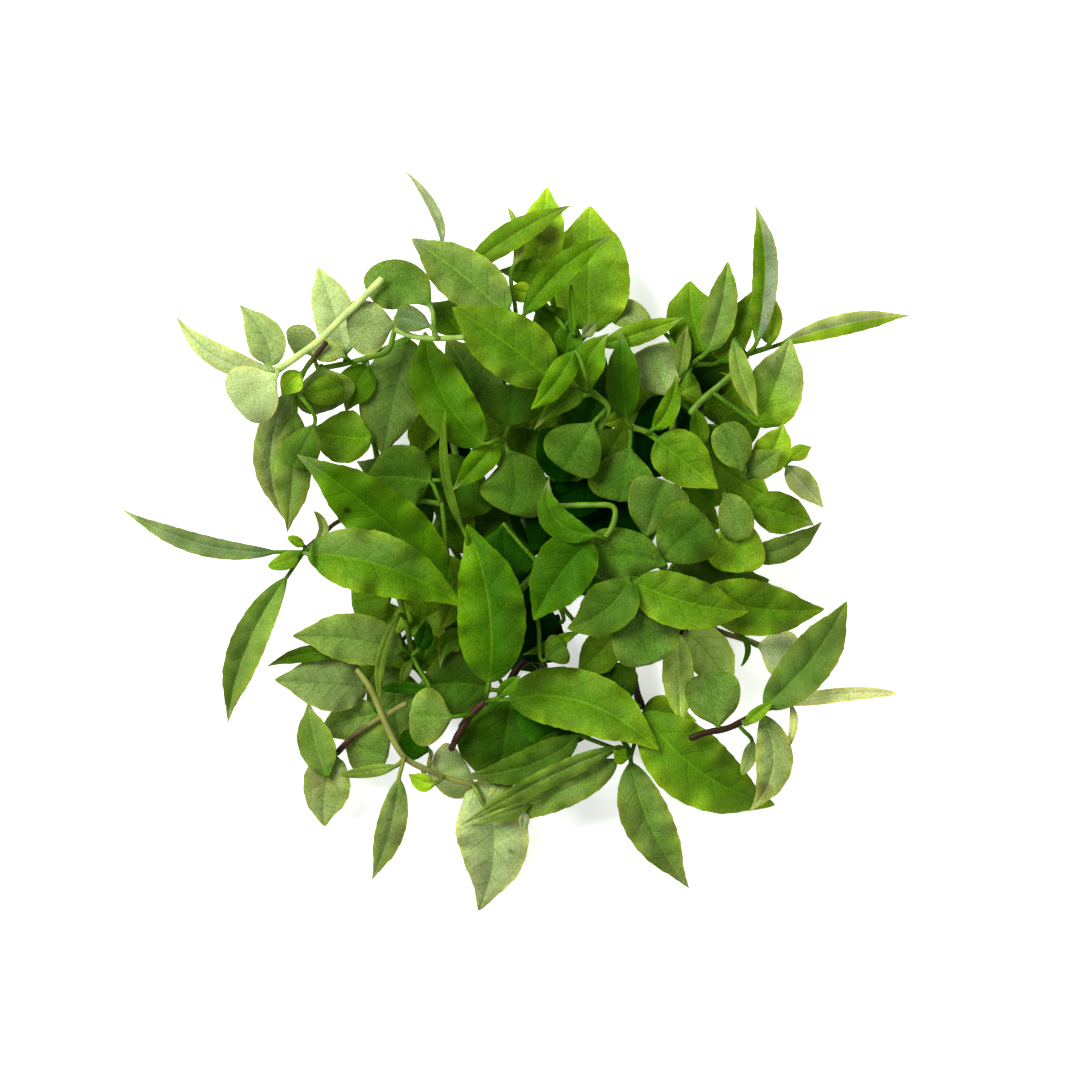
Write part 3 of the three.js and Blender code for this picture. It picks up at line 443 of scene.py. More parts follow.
        strap((524, 812), (524, 822), (523, 830), 5, "grey", joint=(530, 806)),
        lance((620, 747), (545, 779), (460, 826), 10, "olive"),
        lance((627, 758), (621, 756), (613, 750), 8, "fresh"),
        lance((631, 762), (651, 827), (690, 890), 23, "under"),
        ovate((645, 714), (702, 773), (776, 806), 33, "lively"),
    ),
    sprig(
        "centre_south_sprig", 1.0, ("green", "green"),
        [(648, 652), (638, 614), (628, 577)],
        ovate((700, 594), (762, 609), (825, 609), 25, "lively"),
        seed((630, 600), (640, 630), (651, 664), 32, "olive"),
        ovate((634, 582), (690, 603), (748, 611), 26, "lively"),
        ovate((628, 580), (604, 611), (567, 628), 24, "moss"),
    ),
    sprig(
        "south_east_sprig", 1.1, ("brown", "brown"),
        [(690, 738), (707, 732), (727, 728), (742, 721), (759, 711)],
        strap((775, 704), (840, 695), (899, 694), 7, "milk"),
        strap((790, 704), (793, 726), (785, 752), 4, "cream"),
        seed((718, 727), (714, 701), (709, 672), 28, "soft", joint=(724, 729)),
        strap((752, 741), (749, 757), (742, 775), 7, "silver", joint=(738, 724), under=1),
        lance((761, 714), (773, 765), (749, 812), 17, "silver", spot=(763, 790, 12, "#5A3420", 0.45)),
        ovate((764, 706), (811, 659), (847, 601), 23, "soft"),
        strap((744, 724), (758, 712), (771, 702), 6, "lively", joint=(742, 721)),
    ),
    sprig(
        "west_sprig", 0.9, ("green", "purple"),
        [(424, 590), (385, 573), (345, 562), (304, 552)],
        lance((278, 552), (196, 543), (119, 508), 10, "blue"),
        lance((287, 577), (246, 649), (227, 724), 17, "soft", cup=0.35, left="under"),
        strap((300, 553), (284, 562), (268, 566), 8, "lively"),
        strap((305, 546), (297, 541), (288, 537), 5, "lively"),
        strap((312, 546), (324, 529), (314, 511), 5, "silver"),
        ovate((309, 554), (387, 567), (465, 606), 29, "lively", far="fresh", left="under"),
    ),
    sprig(
        "crown_sprig", 1.1, ("purple", "purple"),
        [(451, 750), (458, 735), (472, 714), (486, 701)],
        seed((453, 717), (433, 717), (409, 715), 27, "under", joint=(471, 716)),
        ovate((509, 700), (586, 703), (659, 750), 31, "lively"),
        ovate((489, 682), (489, 603), (467, 524), 32, "fresh", right="mid"),
        strap((466, 535), (446, 475), (446, 411), 4.5, "moss", joint=(468, 545)),
        lance((498, 697), (508, 686), (521, 675), 7, "mid"),
    ),
]

# One seeded draw, the same as for the solids
DRAW_FACTOR = 16807
DRAW_RANGE = 2147483647


def make_draw(state):
    while True:
        state = state * DRAW_FACTOR % DRAW_RANGE
        yield state / DRAW_RANGE


def from_plan(place):
    return (np.array(place, float) - PLAN_CENTRE) * (PLAN_UNIT, -PLAN_UNIT)


def mix(a, b, share):
    return a + (b - a) * share


def between(limits, draw):
    return mix(limits[0], limits[1], next(draw))


def unit(vector):
    return vector / max(np.linalg.norm(vector), 1e-12)


# Relief: the highest surface so far over each square of the table
def cell_of(value):
    return np.clip(np.floor((np.asarray(value) + REACH) / CELL), 1, SIDE - 2).astype(int)


def spread_out(relief):
    """Each square's highest neighbour."""
    near = relief.copy()
    for shift in (-1, 1):
        near = np.maximum(near, np.roll(relief, shift, 0))
    wide = near.copy()
    for shift in (-1, 1):
        wide = np.maximum(wide, np.roll(near, shift, 1))
    return wide


def highest_near(wide, x, y):
    return wide[cell_of(y), cell_of(x)]


def raise_triangle(relief, a, b, c):
    longest = max(math.dist(a, b), math.dist(b, c), math.dist(c, a))
    steps = math.ceil(longest / SPLAT)
    i, j = np.meshgrid(np.arange(steps + 1), np.arange(steps + 1), indexing="ij")
    inside = i + j <= steps
    u, v = i[inside] / steps, j[inside] / steps
    x, y, z = (a[k] * (1 - u - v) + b[k] * u + c[k] * v for k in range(3))
    np.maximum.at(relief, (cell_of(y), cell_of(x)), z)


def raise_under(relief, rings, point=None):
    for near, far in zip(rings, rings[1:]):
        for j in range(len(near)):
            k = (j + 1) % len(near)
            raise_triangle(relief, near[j], near[k], far[k])
            raise_triangle(relief, near[j], far[k], far[j])
    if point is not None:
        end = rings[-1]
        for j in range(len(end)):
            raise_triangle(relief, end[j], end[(j + 1) % len(end)], point)


def drape(places, floor, free, bend):
    places, floor = np.array(places), np.array(floor)
    held = floor[None, :] - bend * (places[:, None] - places[None, :]) ** 2
    return np.maximum(free, held.max(axis=1))


# Curves, walked at even steps
ARC_STEPS = 200


class Walk:
    """Even steps along a curve given as a function from 0 to 1."""

    def __init__(self, curve):
        self.curve = curve
        points = np.array([curve(i / ARC_STEPS) for i in range(ARC_STEPS + 1)])
        steps = np.linalg.norm(np.diff(points, axis=0), axis=1)
        self.runs = np.concatenate([[0], np.cumsum(steps)])
        self.length = self.runs[-1]

    def at(self, share):
        t = np.interp(share * self.length, self.runs, np.arange(ARC_STEPS + 1)) / ARC_STEPS
        return self.curve(t)


def quadratic(start, control, end):
    return lambda t: (1 - t) ** 2 * start + 2 * (1 - t) * t * control + t * t * end


def spline_through(points):
    last = len(points) - 1

    def curve(t):
        i = min(int(t * last), last)
        w = t * last - i
        p0, p1, p2, p3 = (points[min(max(i + k, 0), last)] for k in (-1, 0, 1, 2))
        v0, v1 = (p2 - p0) / 2, (p3 - p1) / 2
        cubic, square = 2 * p1 - 2 * p2 + v0 + v1, 3 * p2 - 3 * p1 - 2 * v0 - v1
        return cubic * w**3 + square * w**2 + v0 * w + p1

    return curve


def blade_half(leaf_row, t):
    """Half the width of a blade at a share of its length."""
    rise, fall, _ = OUTLINES[leaf_row["outline"]]
    peak_at = rise / (rise + fall)
    peak = peak_at**rise * (1 - peak_at) ** fall
    return leaf_row["half_width"] * PLAN_UNIT * t**rise * (1 - t) ** fall / peak


def leaf_stations(row, joint, root):
    start, through, end = (from_plan(row[k]) for k in ("base", "middle", "tip"))
    control = through * 2 - (start + end) / 2
    rib = quadratic(start, control, end)
    length = Walk(rib).length
    spans = next(count for limit, count in SPANS if length <= limit)
    stalk = math.dist(start, joint)
    bends = [-root]
    reach = PETIOLE_RISE
    while reach < stalk - PETIOLE_RISE:
        bends.append(reach)
        reach += PETIOLE_SPAN
    stations = [
        {
            "at": mix(joint, start, reach / stalk), "half": PETIOLE_RADIUS, "thick": 2 * PETIOLE_RADIUS,
            "blade": 0, "t": 0,
        }
        for reach in bends
    ]
    for i in range(spans + 1):
        t = (1 - math.cos(math.pi * i / spans)) / 2
        blade = min(1, t / PETIOLE_BLEND)
        stations.append({
            "at": rib(t),
            "half": max(blade_half(row, t), mix(PETIOLE_RADIUS, 0, t)),
            "thick": mix(2 * PETIOLE_RADIUS, SOLID_THICKNESS, blade) * mix(1, TIP_SHARE, t),
            "blade": blade,
            "t": t,
        })
    run = 0
    for i, station in enumerate(stations):
        ahead = stations[min(i + 1, len(stations) - 1)]["at"]
        behind = stations[max(i - 1, 0)]["at"]
        along = unit(ahead - behind)
        station["side"] = np.array([-along[1], along[0]])
        run += math.dist(station["at"], stations[i - 1]["at"]) if i else 0
        station["run"] = run
    return stations


def leaf_floor(stations, joint, beneath, own, clearance):
    floor = [TABLE_LEVEL] * len(stations)
    for i, (near, far) in enumerate(zip(stations, stations[1:])):
        steps = max(1, math.ceil((far["run"] - near["run"]) / CELL))
        for step in range(steps + 1):
            share = step / steps
            half = mix(near["half"], far["half"], share)
            across = max(1, math.ceil(half / CELL))
            v = np.arange(-across, across + 1) / across
            hang = mix(
                mix(-near["thick"] / 2, np.where(v < 0, near["right"], near["left"]), abs(v)),
                mix(-far["thick"] / 2, np.where(v < 0, far["right"], far["left"]), abs(v)),
                share,
            )
            x, y = (
                mix(*(end["at"][k] + end["side"][k] * end["half"] * v for end in (near, far)), share)
                for k in (0, 1)
            )
            top = highest_near(beneath, x, y)
            away = np.hypot(x - joint[0], y - joint[1]) > JOINT_RADIUS
            top = np.where(away, np.maximum(top, highest_near(own, x, y)), top)
            need = float((top + clearance - hang).max())
            floor[i] = max(floor[i], need)
            floor[i + 1] = max(floor[i + 1], need)
    return floor


def lay_leaf(row, joint, joint_height, beneath, own, draw):
    """Stations and heights of a leaf that lies on what is beneath it."""
    stations = leaf_stations(row, joint, between(ROOT_DEPTH, draw))
    roll = between(ROLL, draw)
    rise = between(RISE, draw)
    clearance = SPRIG_GAP + between(LOOSENESS, draw)
    wave = mix(0, 2 * math.pi, next(draw))
    for station in stations:
        ripple = RIPPLE * math.sin(wave + station["run"] * RIPPLE_TURN)
        station["left"] = station["blade"] * station["half"] * (row["cup"] + roll + ripple)
        station["right"] = station["blade"] * station["half"] * (row["cup"] - roll - ripple)
    floor = leaf_floor(stations, joint, beneath, own, clearance)
    runs = np.array([station["run"] for station in stations])
    whole = runs[-1]
    start = floor[0] if joint_height is None else joint_height
    tip = stations[-1]["at"]
    out = math.hypot(tip[0] / (HEAP_LENGTH / 2), tip[1] / (HEAP_WIDTH / 2))
    droop = min(max((out - DROOP_FROM) / (DROOP_FULLY - DROOP_FROM), 0), 1)
    fall = mix(EASY_FALL * rise * whole, DROOP * start, droop)
    free = start + rise * runs * (1 - runs / whole) - fall * (runs / whole) ** 2
    heights = drape(runs, floor, free, LEAF_BEND)
    if joint_height is not None:
        heights[0] = joint_height
    return {"row": row, "stations": stations, "heights": heights, "roll": roll, "wave": wave}


def leaf_rings(laid):
    rings = []
    for station, z in zip(laid["stations"][:-1], laid["heights"]):
        at, side, half, thick = (station[k] for k in ("at", "side", "half", "thick"))
        rings.append([
            (*(at - side * half), z + station["right"]),
            (*at, z + thick / 2),
            (*(at + side * half), z + station["left"]),
            (*at, z - thick / 2),
        ])
    return rings, (*laid["stations"][-1]["at"], laid["heights"][-1])


def lay_stem(row, beneath, own, joints):
    route = Walk(spline_through([from_plan(place) for place in row["route"]]))
    count = max(3, round(route.length / STEM_SPAN))
    radius = row["width"] / 2
    points = [route.at(i / count) for i in range(count + 1)]
    runs = np.arange(count + 1) / count * route.length
    floor = [TABLE_LEVEL + SPRIG_GAP + radius] * (count + 1)
    probes = count * SPAN_PROBES
    for probe in range(probes + 1):
        at = route.at(probe / probes)
        near = min(count - 1, probe // SPAN_PROBES)
        at_end = min(probe, probes - probe) < SPAN_PROBES / 2
        spread = radius + END_ROOM if at_end else radius
        clear = all(math.dist(at, joint) > JOINT_RADIUS for joint in joints)
        for dx, dy in ((0, 0), (1, 0), (-1, 0), (0, 1), (0, -1)):
            x, y = at[0] + dx * spread, at[1] + dy * spread
            top = highest_near(beneath, x, y)
            if clear:
                top = max(top, highest_near(own, x, y))
            need = float(top + SPRIG_GAP + radius)
            floor[near] = max(floor[near], need)
            floor[near + 1] = max(floor[near + 1], need)
    free = 4 * row["arch"] * runs * (route.length - runs) / route.length**2
    heights = drape(runs, floor, free, STEM_BEND)
    return {"points": points, "heights": heights, "radius": radius, "route": route, "runs": runs}


def stem_rings(stem):
    rings = []
    points = stem["points"]
    angles = 2 * math.pi * np.arange(STEM_SIDES) / STEM_SIDES
    out, up = np.cos(angles) * stem["radius"], np.sin(angles) * stem["radius"]
    for i, at in enumerate(points):
        along = unit(points[min(i + 1, len(points) - 1)] - points[max(i - 1, 0)])
        rings.append([
            (at[0] + along[1] * o, at[1] - along[0] * o, stem["heights"][i] + u) for o, u in zip(out, up)
        ])
    return rings


def stem_point_near(stem, joint):
    best = (math.inf, stem["points"][0], stem["heights"][0])
    for i in range(len(stem["points"]) - 1):
        for step in range(SPAN_PROBES + 1):
            share = step / SPAN_PROBES
            at = mix(stem["points"][i], stem["points"][i + 1], share)
            distance = math.dist(at, joint)
            if distance < best[0]:
                best = (distance, at, mix(stem["heights"][i], stem["heights"][i + 1], share))
    return best


def lay_sprig(row, stack, draw):
    """Lays the leaves and the stem of one sprig, and raises the stack by them."""
    beneath = spread_out(stack)
    own = np.full((SIDE, SIDE), TABLE_LEVEL)
    apex = row["route"][-1]
    laid = []
    joints = []
    for leaf_row in row["below"]:
        joint = from_plan(leaf_row["joint"] or apex)
        laid.append(lay_leaf(leaf_row, joint, None, beneath, spread_out(own), draw))
        joints.append(joint)
        raise_under(own, *leaf_rings(laid[-1]))
    stem = lay_stem(row, beneath, spread_out(own), joints)
    raise_under(own, stem_rings(stem))
    for below, joint in zip(laid, joints):
        below["heights"][0] = stem_point_near(stem, joint)[2]
    taken = []
    for leaf_row in row["leaves"]:
        wanted = from_plan(leaf_row["joint"] or apex)
        wide = spread_out(own)
        distance, at, height = stem_point_near(stem, wanted)
        if distance >= JOINT_SEARCH:
            at, height = wanted, highest_near(wide, *wanted) - SOLID_THICKNESS / 2
        lower = sum(math.dist(joint, at) < PETIOLE_RISE for joint in taken)
        taken.append(at)
        laid.append(lay_leaf(leaf_row, at, height + lower * LEAF_STEP, beneath, wide, draw))
        raise_under(own, *leaf_rings(laid[-1]))
    np.maximum(stack, own, out=stack)
    return {"row": row, "stem": stem, "leaves": laid}


def lay_heap():
    draw = make_draw(SEED)
    stack = np.full((SIDE, SIDE), TABLE_LEVEL)
    return [lay_sprig(row, stack, draw) for row in SPRIGS]


# Fine leaves. Names with START, END, SPAN or RIM hold two shares of a blade's length, of its half-width
# or of a spot, between which something sets in or ends.
TOOTHED = ("lance", "ovate")
TRUE_BLADE = 0.26
SEED_BLADE = 0.5
LEAST_EDGE = 0.05
STALK_RADIUS = 0.34
TIP_HALF = 0.03
ROW_STEP = 0.44
STALK_STEP = 0.7
LANES = 8
LANE_SPREAD = 1.35
FULLNESS = 1.06
LOW_FULLNESS = 1.3
NARROW_TIP = 0.74
NARROW_TIP_SPAN = (0.7, 0.93)
NARROW_BASE = 0.66
NARROW_BASE_SPAN = (0, 0.3)
TOOTH_STEP = 2.3
TOOTH_DEPTH = 0.16
TOOTH_CURVE = 1.6
TOOTH_LEVEL = 0.4
TEETH_FULL_FROM = 3
TEETH_START = (0.12, 0.3)
TEETH_END = (0.98, 0.85)
LOPSIDED = 0.06
LOPSIDED_TURN = 5
ROLL_MORE = 1.5
CUP_MORE = (0.6, 1.8)
CUP_CURVE = 1.5
PUFF = 0.13
SEED_PUFF = 0.09
PUFF_CURVE = 0.9
MARGIN_WAVE = 0.13
SEED_WAVE = 0.11
LONG_WAVE = 0.75
SHORT_WAVE = 1.6
SHORT_WAVE_SHARE = 0.6
WAVE_LAG = 0.9
VEIN_PAIRS = 5.5
VEIN_SLANT = 0.6
VEIN_CURL = 0.07
VEIN_STAGGER = 0.17
QUILT = 0.16
QUILT_FULL_FROM = 4
QUILT_START = (0, 0.15)
QUILT_END = (1, 0.75)
DIMPLE = 0.05
SEED_DIMPLE = 0.035
DIMPLE_TURNS = (1.9, 1.3, 1.6, 0.8)
DIMPLE_FULL_FROM = 3
RIB_WIDTH = 0.32
RIB_DEPTH = 0.22
RIB_TAPER = 0.8
GROOVE = 0.07
FAR_FROM_RIM = 10.0
PALER_END = 0.24
PALER_SIDE = 0.2
TIP_SPAN = (0.8, 1.0)
TIP_SHEEN_SHARE = 0.9
GREY_SHEEN_SHARE = 0.45
FAR_SPAN = (0.1, 0.9)
SPOT_RIM = (0.4, 1.0)
STALK_END = (0, 0.08)


def linear(code):
    """Linear colour of an sRGB hex value."""
    values = [int(code[i : i + 2], 16) / 255 for i in (1, 3, 5)]
    return np.array([v / 12.92 if v <= 0.04045 else ((v + 0.055) / 1.055) ** 2.4 for v in values])


def smooth(runs, values, where):
    """A soft curve through values at runs."""
    runs, values = np.asarray(runs, float), np.asarray(values, float)
    slopes = np.gradient(values, runs, axis=0)
    i = np.clip(np.searchsorted(runs, where, side="right") - 1, 0, len(runs) - 2)
    span = runs[i + 1] - runs[i]
    s = np.clip((where - runs[i]) / span, 0, 1)
    if values.ndim > 1:
        span, s = span[:, None], s[:, None]
    start = values[i] * (2 * s**3 - 3 * s**2 + 1) + slopes[i] * span * (s**3 - 2 * s**2 + s)
    return start + values[i + 1] * (3 * s**2 - 2 * s**3) + slopes[i + 1] * span * (s**3 - s**2)


def soft_step(low, high, value):
    s = np.clip((value - low) / (high - low), 0, 1)
    return s * s * (3 - 2 * s)


def sides_of(points):
    along = np.gradient(points, axis=0)
    along /= np.maximum(np.linalg.norm(along, axis=1), 1e-9)[:, None]
    return np.stack([-along[:, 1], along[:, 0]], axis=1)


def blade_halves(row, t, along, fullness, random):
    """Half the width of a fine blade along it, with teeth on a true leaf."""
    half = fullness * blade_half(row, t)
    if row["outline"] in TOOTHED:
        half = half * mix(1, NARROW_TIP, soft_step(*NARROW_TIP_SPAN, t))
    else:
        half = half * mix(NARROW_BASE, 1, soft_step(*NARROW_BASE_SPAN, t))
    half = np.maximum(half, mix(STALK_RADIUS, TIP_HALF, t))
    if row["outline"] in TOOTHED:
        phase = (along / TOOTH_STEP + random.random()) % 1
        depth = TOOTH_DEPTH * min(1, row["half_width"] * PLAN_UNIT / TEETH_FULL_FROM)
        teeth = depth * (phase**TOOTH_CURVE - TOOTH_LEVEL)
        half = half + teeth * soft_step(*TEETH_START, t) * soft_step(*TEETH_END, t)
    return half


def leaf_faces(count, lanes):
    """Numbers of the upper points, and the faces of both sides, the tip and the end of the petiole."""
    over = np.arange(count * lanes).reshape(count, lanes)
    under = over.copy()
    under[:, 1:-1] = count * lanes + np.arange(count * (lanes - 2)).reshape(count, lanes - 2)
    end = count * (2 * lanes - 2)
    faces = []
    for i in range(count - 1):
        for j in range(lanes - 1):
            faces.append((over[i, j], over[i + 1, j], over[i + 1, j + 1], over[i, j + 1]))
            faces.append((under[i, j], under[i, j + 1], under[i + 1, j + 1], under[i + 1, j]))
    for j in range(lanes - 1):
        faces.append((over[-1, j], end, over[-1, j + 1]))
        faces.append((under[-1, j], under[-1, j + 1], end))
    faces.append((*over[0], *under[0, 1:-1][::-1]))
    return over, faces


def leaf_tint(row, stalk_tint, t, v, x, y, random):
    """Colour of each upper point of a leaf, with its marks."""
    finish = row["finish"]
    base = linear(TINTS[row["tint"]])
    drift = random.uniform(-1, 1, 2)
    paler = 1 + PALER_END * drift[0] * (2 * t[:, None] - 1) + PALER_SIDE * drift[1] * v
    tint = paler[:, :, None] * base
    # Painted light and shade: one half of a leaf may take a lighter or a darker tint, as a blade folded along
    # its midrib is lit on one half and shaded on the other
    for edge, on in (("left", v > 0), ("right", v < 0)):
        if edge in finish:
            tint[:, on] *= linear(TINTS[finish[edge]]) / base

    def along(span):
        return soft_step(*span, t)[:, None, None]

    # Painted sheen: a leaf's tip turns a grey or blue tint, a soft broad highlight put into its colour; lance
    # tips take grey unless told otherwise
    if "tip_tint" in finish:
        tint = mix(tint, linear(TINTS[finish["tip_tint"]]), along(TIP_SPAN) * TIP_SHEEN_SHARE)
    elif row["outline"] == "lance":
        tint = mix(tint, linear(TINTS["grey"]), along(TIP_SPAN) * GREY_SHEEN_SHARE)
    if "far" in finish:
        tint = mix(tint, linear(TINTS[finish["far"]]), along(FAR_SPAN))
    if "spot" in finish:
        px, py, radius, code, strength = finish["spot"]
        middle = from_plan((px, py))
        away = np.hypot(x - middle[0], y - middle[1]) / (radius * PLAN_UNIT)
        tint = mix(tint, linear(code), (strength * (1 - soft_step(*SPOT_RIM, away)))[:, :, None])
    return mix(linear(STALKS[stalk_tint]) * np.ones_like(tint), tint, along(STALK_END))


def fine_leaf(laid, stalk_tint, fullness, random):
    """Points, faces and finish of one thin leaf with its petiole."""
    row, stations = laid["row"], laid["stations"]
    toothed = row["outline"] in TOOTHED
    face_down = bool(row["finish"].get("under"))
    runs = np.array([station["run"] for station in stations])
    first = next(i for i, station in enumerate(stations) if station["t"] > 0) - 1
    blade_runs, blade_t = runs[first:], [station["t"] for station in stations[first:]]
    length = runs[-1] - runs[first]

    # Rows along the leaf, closer together at both ends of the blade
    rows = max(10, round(length / ROW_STEP))
    t = (1 - np.cos(math.pi * np.arange(rows) / rows)) / 2
    t = mix(t, np.arange(rows) / rows, 0.5)
    stalk_rows = max(3, math.ceil(runs[first] / STALK_STEP))
    stalk_runs = np.linspace(0, runs[first], stalk_rows, endpoint=False)
    where = np.concatenate([stalk_runs, smooth(blade_t, blade_runs, t)])
    t = np.concatenate([np.zeros(stalk_rows), t])
    centre = smooth(runs, [station["at"] for station in stations], where)
    height = smooth(runs, laid["heights"], where)
    tip = np.array([*stations[-1]["at"], laid["heights"][-1]])
    side = sides_of(np.vstack([centre, tip[:2]]))[:-1]
    along = where - runs[first]
    half = blade_halves(row, t, along, fullness, random)

    # Lanes across it: v runs from the right margin, -1, to the left margin, 1
    w = np.linspace(-1, 1, 2 * LANES + 1)
    v = np.sign(w) * abs(w) ** LANE_SPREAD
    a = abs(v)[None, :]
    sign = np.sign(v)[None, :]
    lean = random.uniform(0, 2 * math.pi, 2)
    lopsided = [np.sin(LOPSIDED_TURN * t + start)[:, None] for start in lean]
    y = v[None, :] * half[:, None] * (1 + LOPSIDED * np.where(sign > 0, *lopsided))
    h, b, u = half[:, None], soft_step(0, PETIOLE_BLEND, t)[:, None], along[:, None]

    # The middle of the blade: cupped, rolled, puffed between midrib and margin, wavy and quilted
    roll = laid["roll"] * ROLL_MORE + RIPPLE * np.sin(laid["wave"] + where * RIPPLE_TURN)[:, None]
    cup = row["cup"] * random.uniform(*CUP_MORE)
    sheet = height[:, None] + b * h * (cup * a**CUP_CURVE + sign * roll * a)
    sheet = sheet + b * (PUFF if toothed else SEED_PUFF) * h * np.sin(math.pi * a**PUFF_CURVE)
    turn = -1 if face_down else 1
    swing = random.uniform(0, 2 * math.pi, 2)
    sway = np.sin(where[:, None] * LONG_WAVE + swing[0] + WAVE_LAG * sign)
    sway = sway + SHORT_WAVE_SHARE * np.sin(where[:, None] * SHORT_WAVE + swing[1] - sign)
    sheet = sheet + b * (MARGIN_WAVE if toothed else SEED_WAVE) * h * a**2 * sway
    if toothed:
        pairs = length / VEIN_PAIRS
        q = (u - VEIN_SLANT * abs(y) - VEIN_CURL * y * y) / pairs + VEIN_STAGGER * sign
        furrow = (0.5 + 0.5 * np.cos(2 * math.pi * q)) ** 2
        furrow = furrow * soft_step(*QUILT_START, a) * soft_step(*QUILT_END, a)
        sheet = sheet - turn * QUILT * np.minimum(1, h / QUILT_FULL_FROM) * b * furrow
    bumps = random.uniform(0, 2 * math.pi, 4)
    k = DIMPLE_TURNS
    waves = np.sin(k[0] * u + k[1] * y + bumps[0]) * np.sin(k[2] * y - k[3] * u + bumps[1])
    sheet = sheet + (DIMPLE if toothed else SEED_DIMPLE) * b * waves * np.minimum(1, h / DIMPLE_FULL_FROM)

    # Both skins, with a groove along the midrib above and its ridge below
    body = SEED_BLADE if row["outline"] == "seed" else TRUE_BLADE
    stalk = STALK_RADIUS * np.sqrt(np.maximum(1 - a**2, 0))
    shell = body / 2 * (1 - a**6)
    rib = np.exp(-((y / RIB_WIDTH) ** 2)) * b * (1 - RIB_TAPER * t[:, None])
    ridge, groove = RIB_DEPTH * rib, GROOVE * rib
    up, down = (ridge, -groove) if face_down else (-groove, ridge)
    top = sheet + mix(stalk, shell + up, b)
    bottom = sheet - mix(stalk, shell + down, b)
    top[:, [0, -1]] = bottom[:, [0, -1]] = sheet[:, [0, -1]]
    bottom = np.maximum(bottom, 0)
    top = np.maximum(top, bottom + LEAST_EDGE)
    bottom[:, [0, -1]] = top[:, [0, -1]]
    tip[2] = max(tip[2], LEAST_EDGE)

    flat = [centre[:, k][:, None] + side[:, k][:, None] * y for k in (0, 1)]
    count, lanes = y.shape
    uppers, lowers = count * lanes, count * (lanes - 2)

    def both(values, at_tip):
        """One value for each point: upper skin, lower skin without its margins, tip."""
        return np.concatenate([values.reshape(uppers, -1), values[:, 1:-1].reshape(lowers, -1), [at_tip]])

    points = both(np.stack([*flat, top], axis=2), tip)
    points[uppers:-1, 2] = bottom[:, 1:-1].ravel()
    over, faces = leaf_faces(count, lanes)
    tint = leaf_tint(row, stalk_tint, t, v, *flat, random)
    place = np.stack([u + 0 * y, y, np.full_like(y, length)], axis=2)
    rim = (h - abs(y)) + FAR_FROM_RIM * (1 - b)
    margin = np.zeros(len(points), bool)
    margin[over[stalk_rows:, [0, -1]]] = True
    margin[-1] = True
    back = np.zeros(len(points))
    back[:uppers] = face_down
    back[uppers:-1] = not face_down
    return {
        "points": points,
        "faces": faces,
        "tint": both(tint, tint[-1, LANES]),
        "place": both(place, (length, 0, length)),
        "rim": both(rim[:, :, None], [0])[:, 0],
        "back": back,
        "margin": margin,
        "kind": "seed_leaf" if row["outline"] == "seed" else "true_leaf",
    }


# Stems. Turns are radians along a whole stem.
STEM_STEP = 0.5
STEM_RING = 12
STEM_END = 0.6
STEM_SLIMMER = 0.94
STEM_UNEVEN = 0.05
STEM_UNEVEN_TURN = 23
STEM_KNOT = 0.18
STEM_KNOT_LENGTH = 1.1
STEM_BANDS = 0.12
STEM_BANDS_TURN = 31
STEM_FADE = (0.2, 0.8)


def tube(path, radii, tints):
    """A closed round skin along a path, with rounded ends."""
    along = np.gradient(path, axis=0)
    along /= np.linalg.norm(along, axis=1)[:, None]
    flat = np.cross(along, (0, 0, 1))
    flat /= np.maximum(np.linalg.norm(flat, axis=1), 1e-6)[:, None]
    over = np.cross(flat, along)
    angles = 2 * math.pi * np.arange(STEM_RING) / STEM_RING
    rings = path[:, None, :] + radii[:, None, None] * (
        flat[:, None, :] * np.cos(angles)[None, :, None] + over[:, None, :] * np.sin(angles)[None, :, None]
    )
    count = len(path)
    ends = [path[i] + way * along[i] * radii[i] * STEM_END for i, way in ((0, -1), (-1, 1))]
    points = np.vstack([rings.reshape(-1, 3), *ends])
    points[:, 2] = np.maximum(points[:, 2], 0)
    faces = []
    for i in range(count - 1):
        for j in range(STEM_RING):
            k = (j + 1) % STEM_RING
            a, c = i * STEM_RING, (i + 1) * STEM_RING
            faces.append((a + j, a + k, c + k, c + j))
    first, last = count * STEM_RING, count * STEM_RING + 1
    for j in range(STEM_RING):
        k = (j + 1) % STEM_RING
        faces.append((first, k, j))
        faces.append((last, last - 1 - STEM_RING + j, last - 1 - STEM_RING + k))
    tint = np.vstack([np.repeat(tints, STEM_RING, axis=0), tints[:1], tints[-1:]])
    return points, faces, tint


def fine_stem(laid, random):
    row, stem = laid["row"], laid["stem"]
    count = max(8, round(stem["route"].length / STEM_STEP))
    shares = np.arange(count + 1) / count
    flat = np.array([stem["route"].at(share) for share in shares])
    height = smooth(stem["runs"], stem["heights"], shares * stem["route"].length)
    path = np.column_stack([flat, height])
    radii = stem["radius"] * (
        STEM_SLIMMER + STEM_UNEVEN * np.sin(shares * STEM_UNEVEN_TURN + random.uniform(0, 6))
    )
    radii *= 1 + STEM_KNOT * np.exp(-(((1 - shares) * stem["route"].length / STEM_KNOT_LENGTH) ** 2))
    start, end = (linear(STALKS[name]) for name in row["stalk"])
    bands = 1 + STEM_BANDS * np.sin(shares * STEM_BANDS_TURN)
    tints = mix(start, end, soft_step(*STEM_FADE, shares)[:, None]) * bands[:, None]
    return tube(path, radii, tints)


HAIR_LENGTH = (0.25, 0.6)
HAIR_WIDTH = 0.022
HAIR_LEAN = 0.3
HAIR_ROOT = 0.03
HAIR_CORNERS = (0, 2.1, 4.2)
HAIR_LOWEST = 0.02
HAIRS_PER_MM = 4


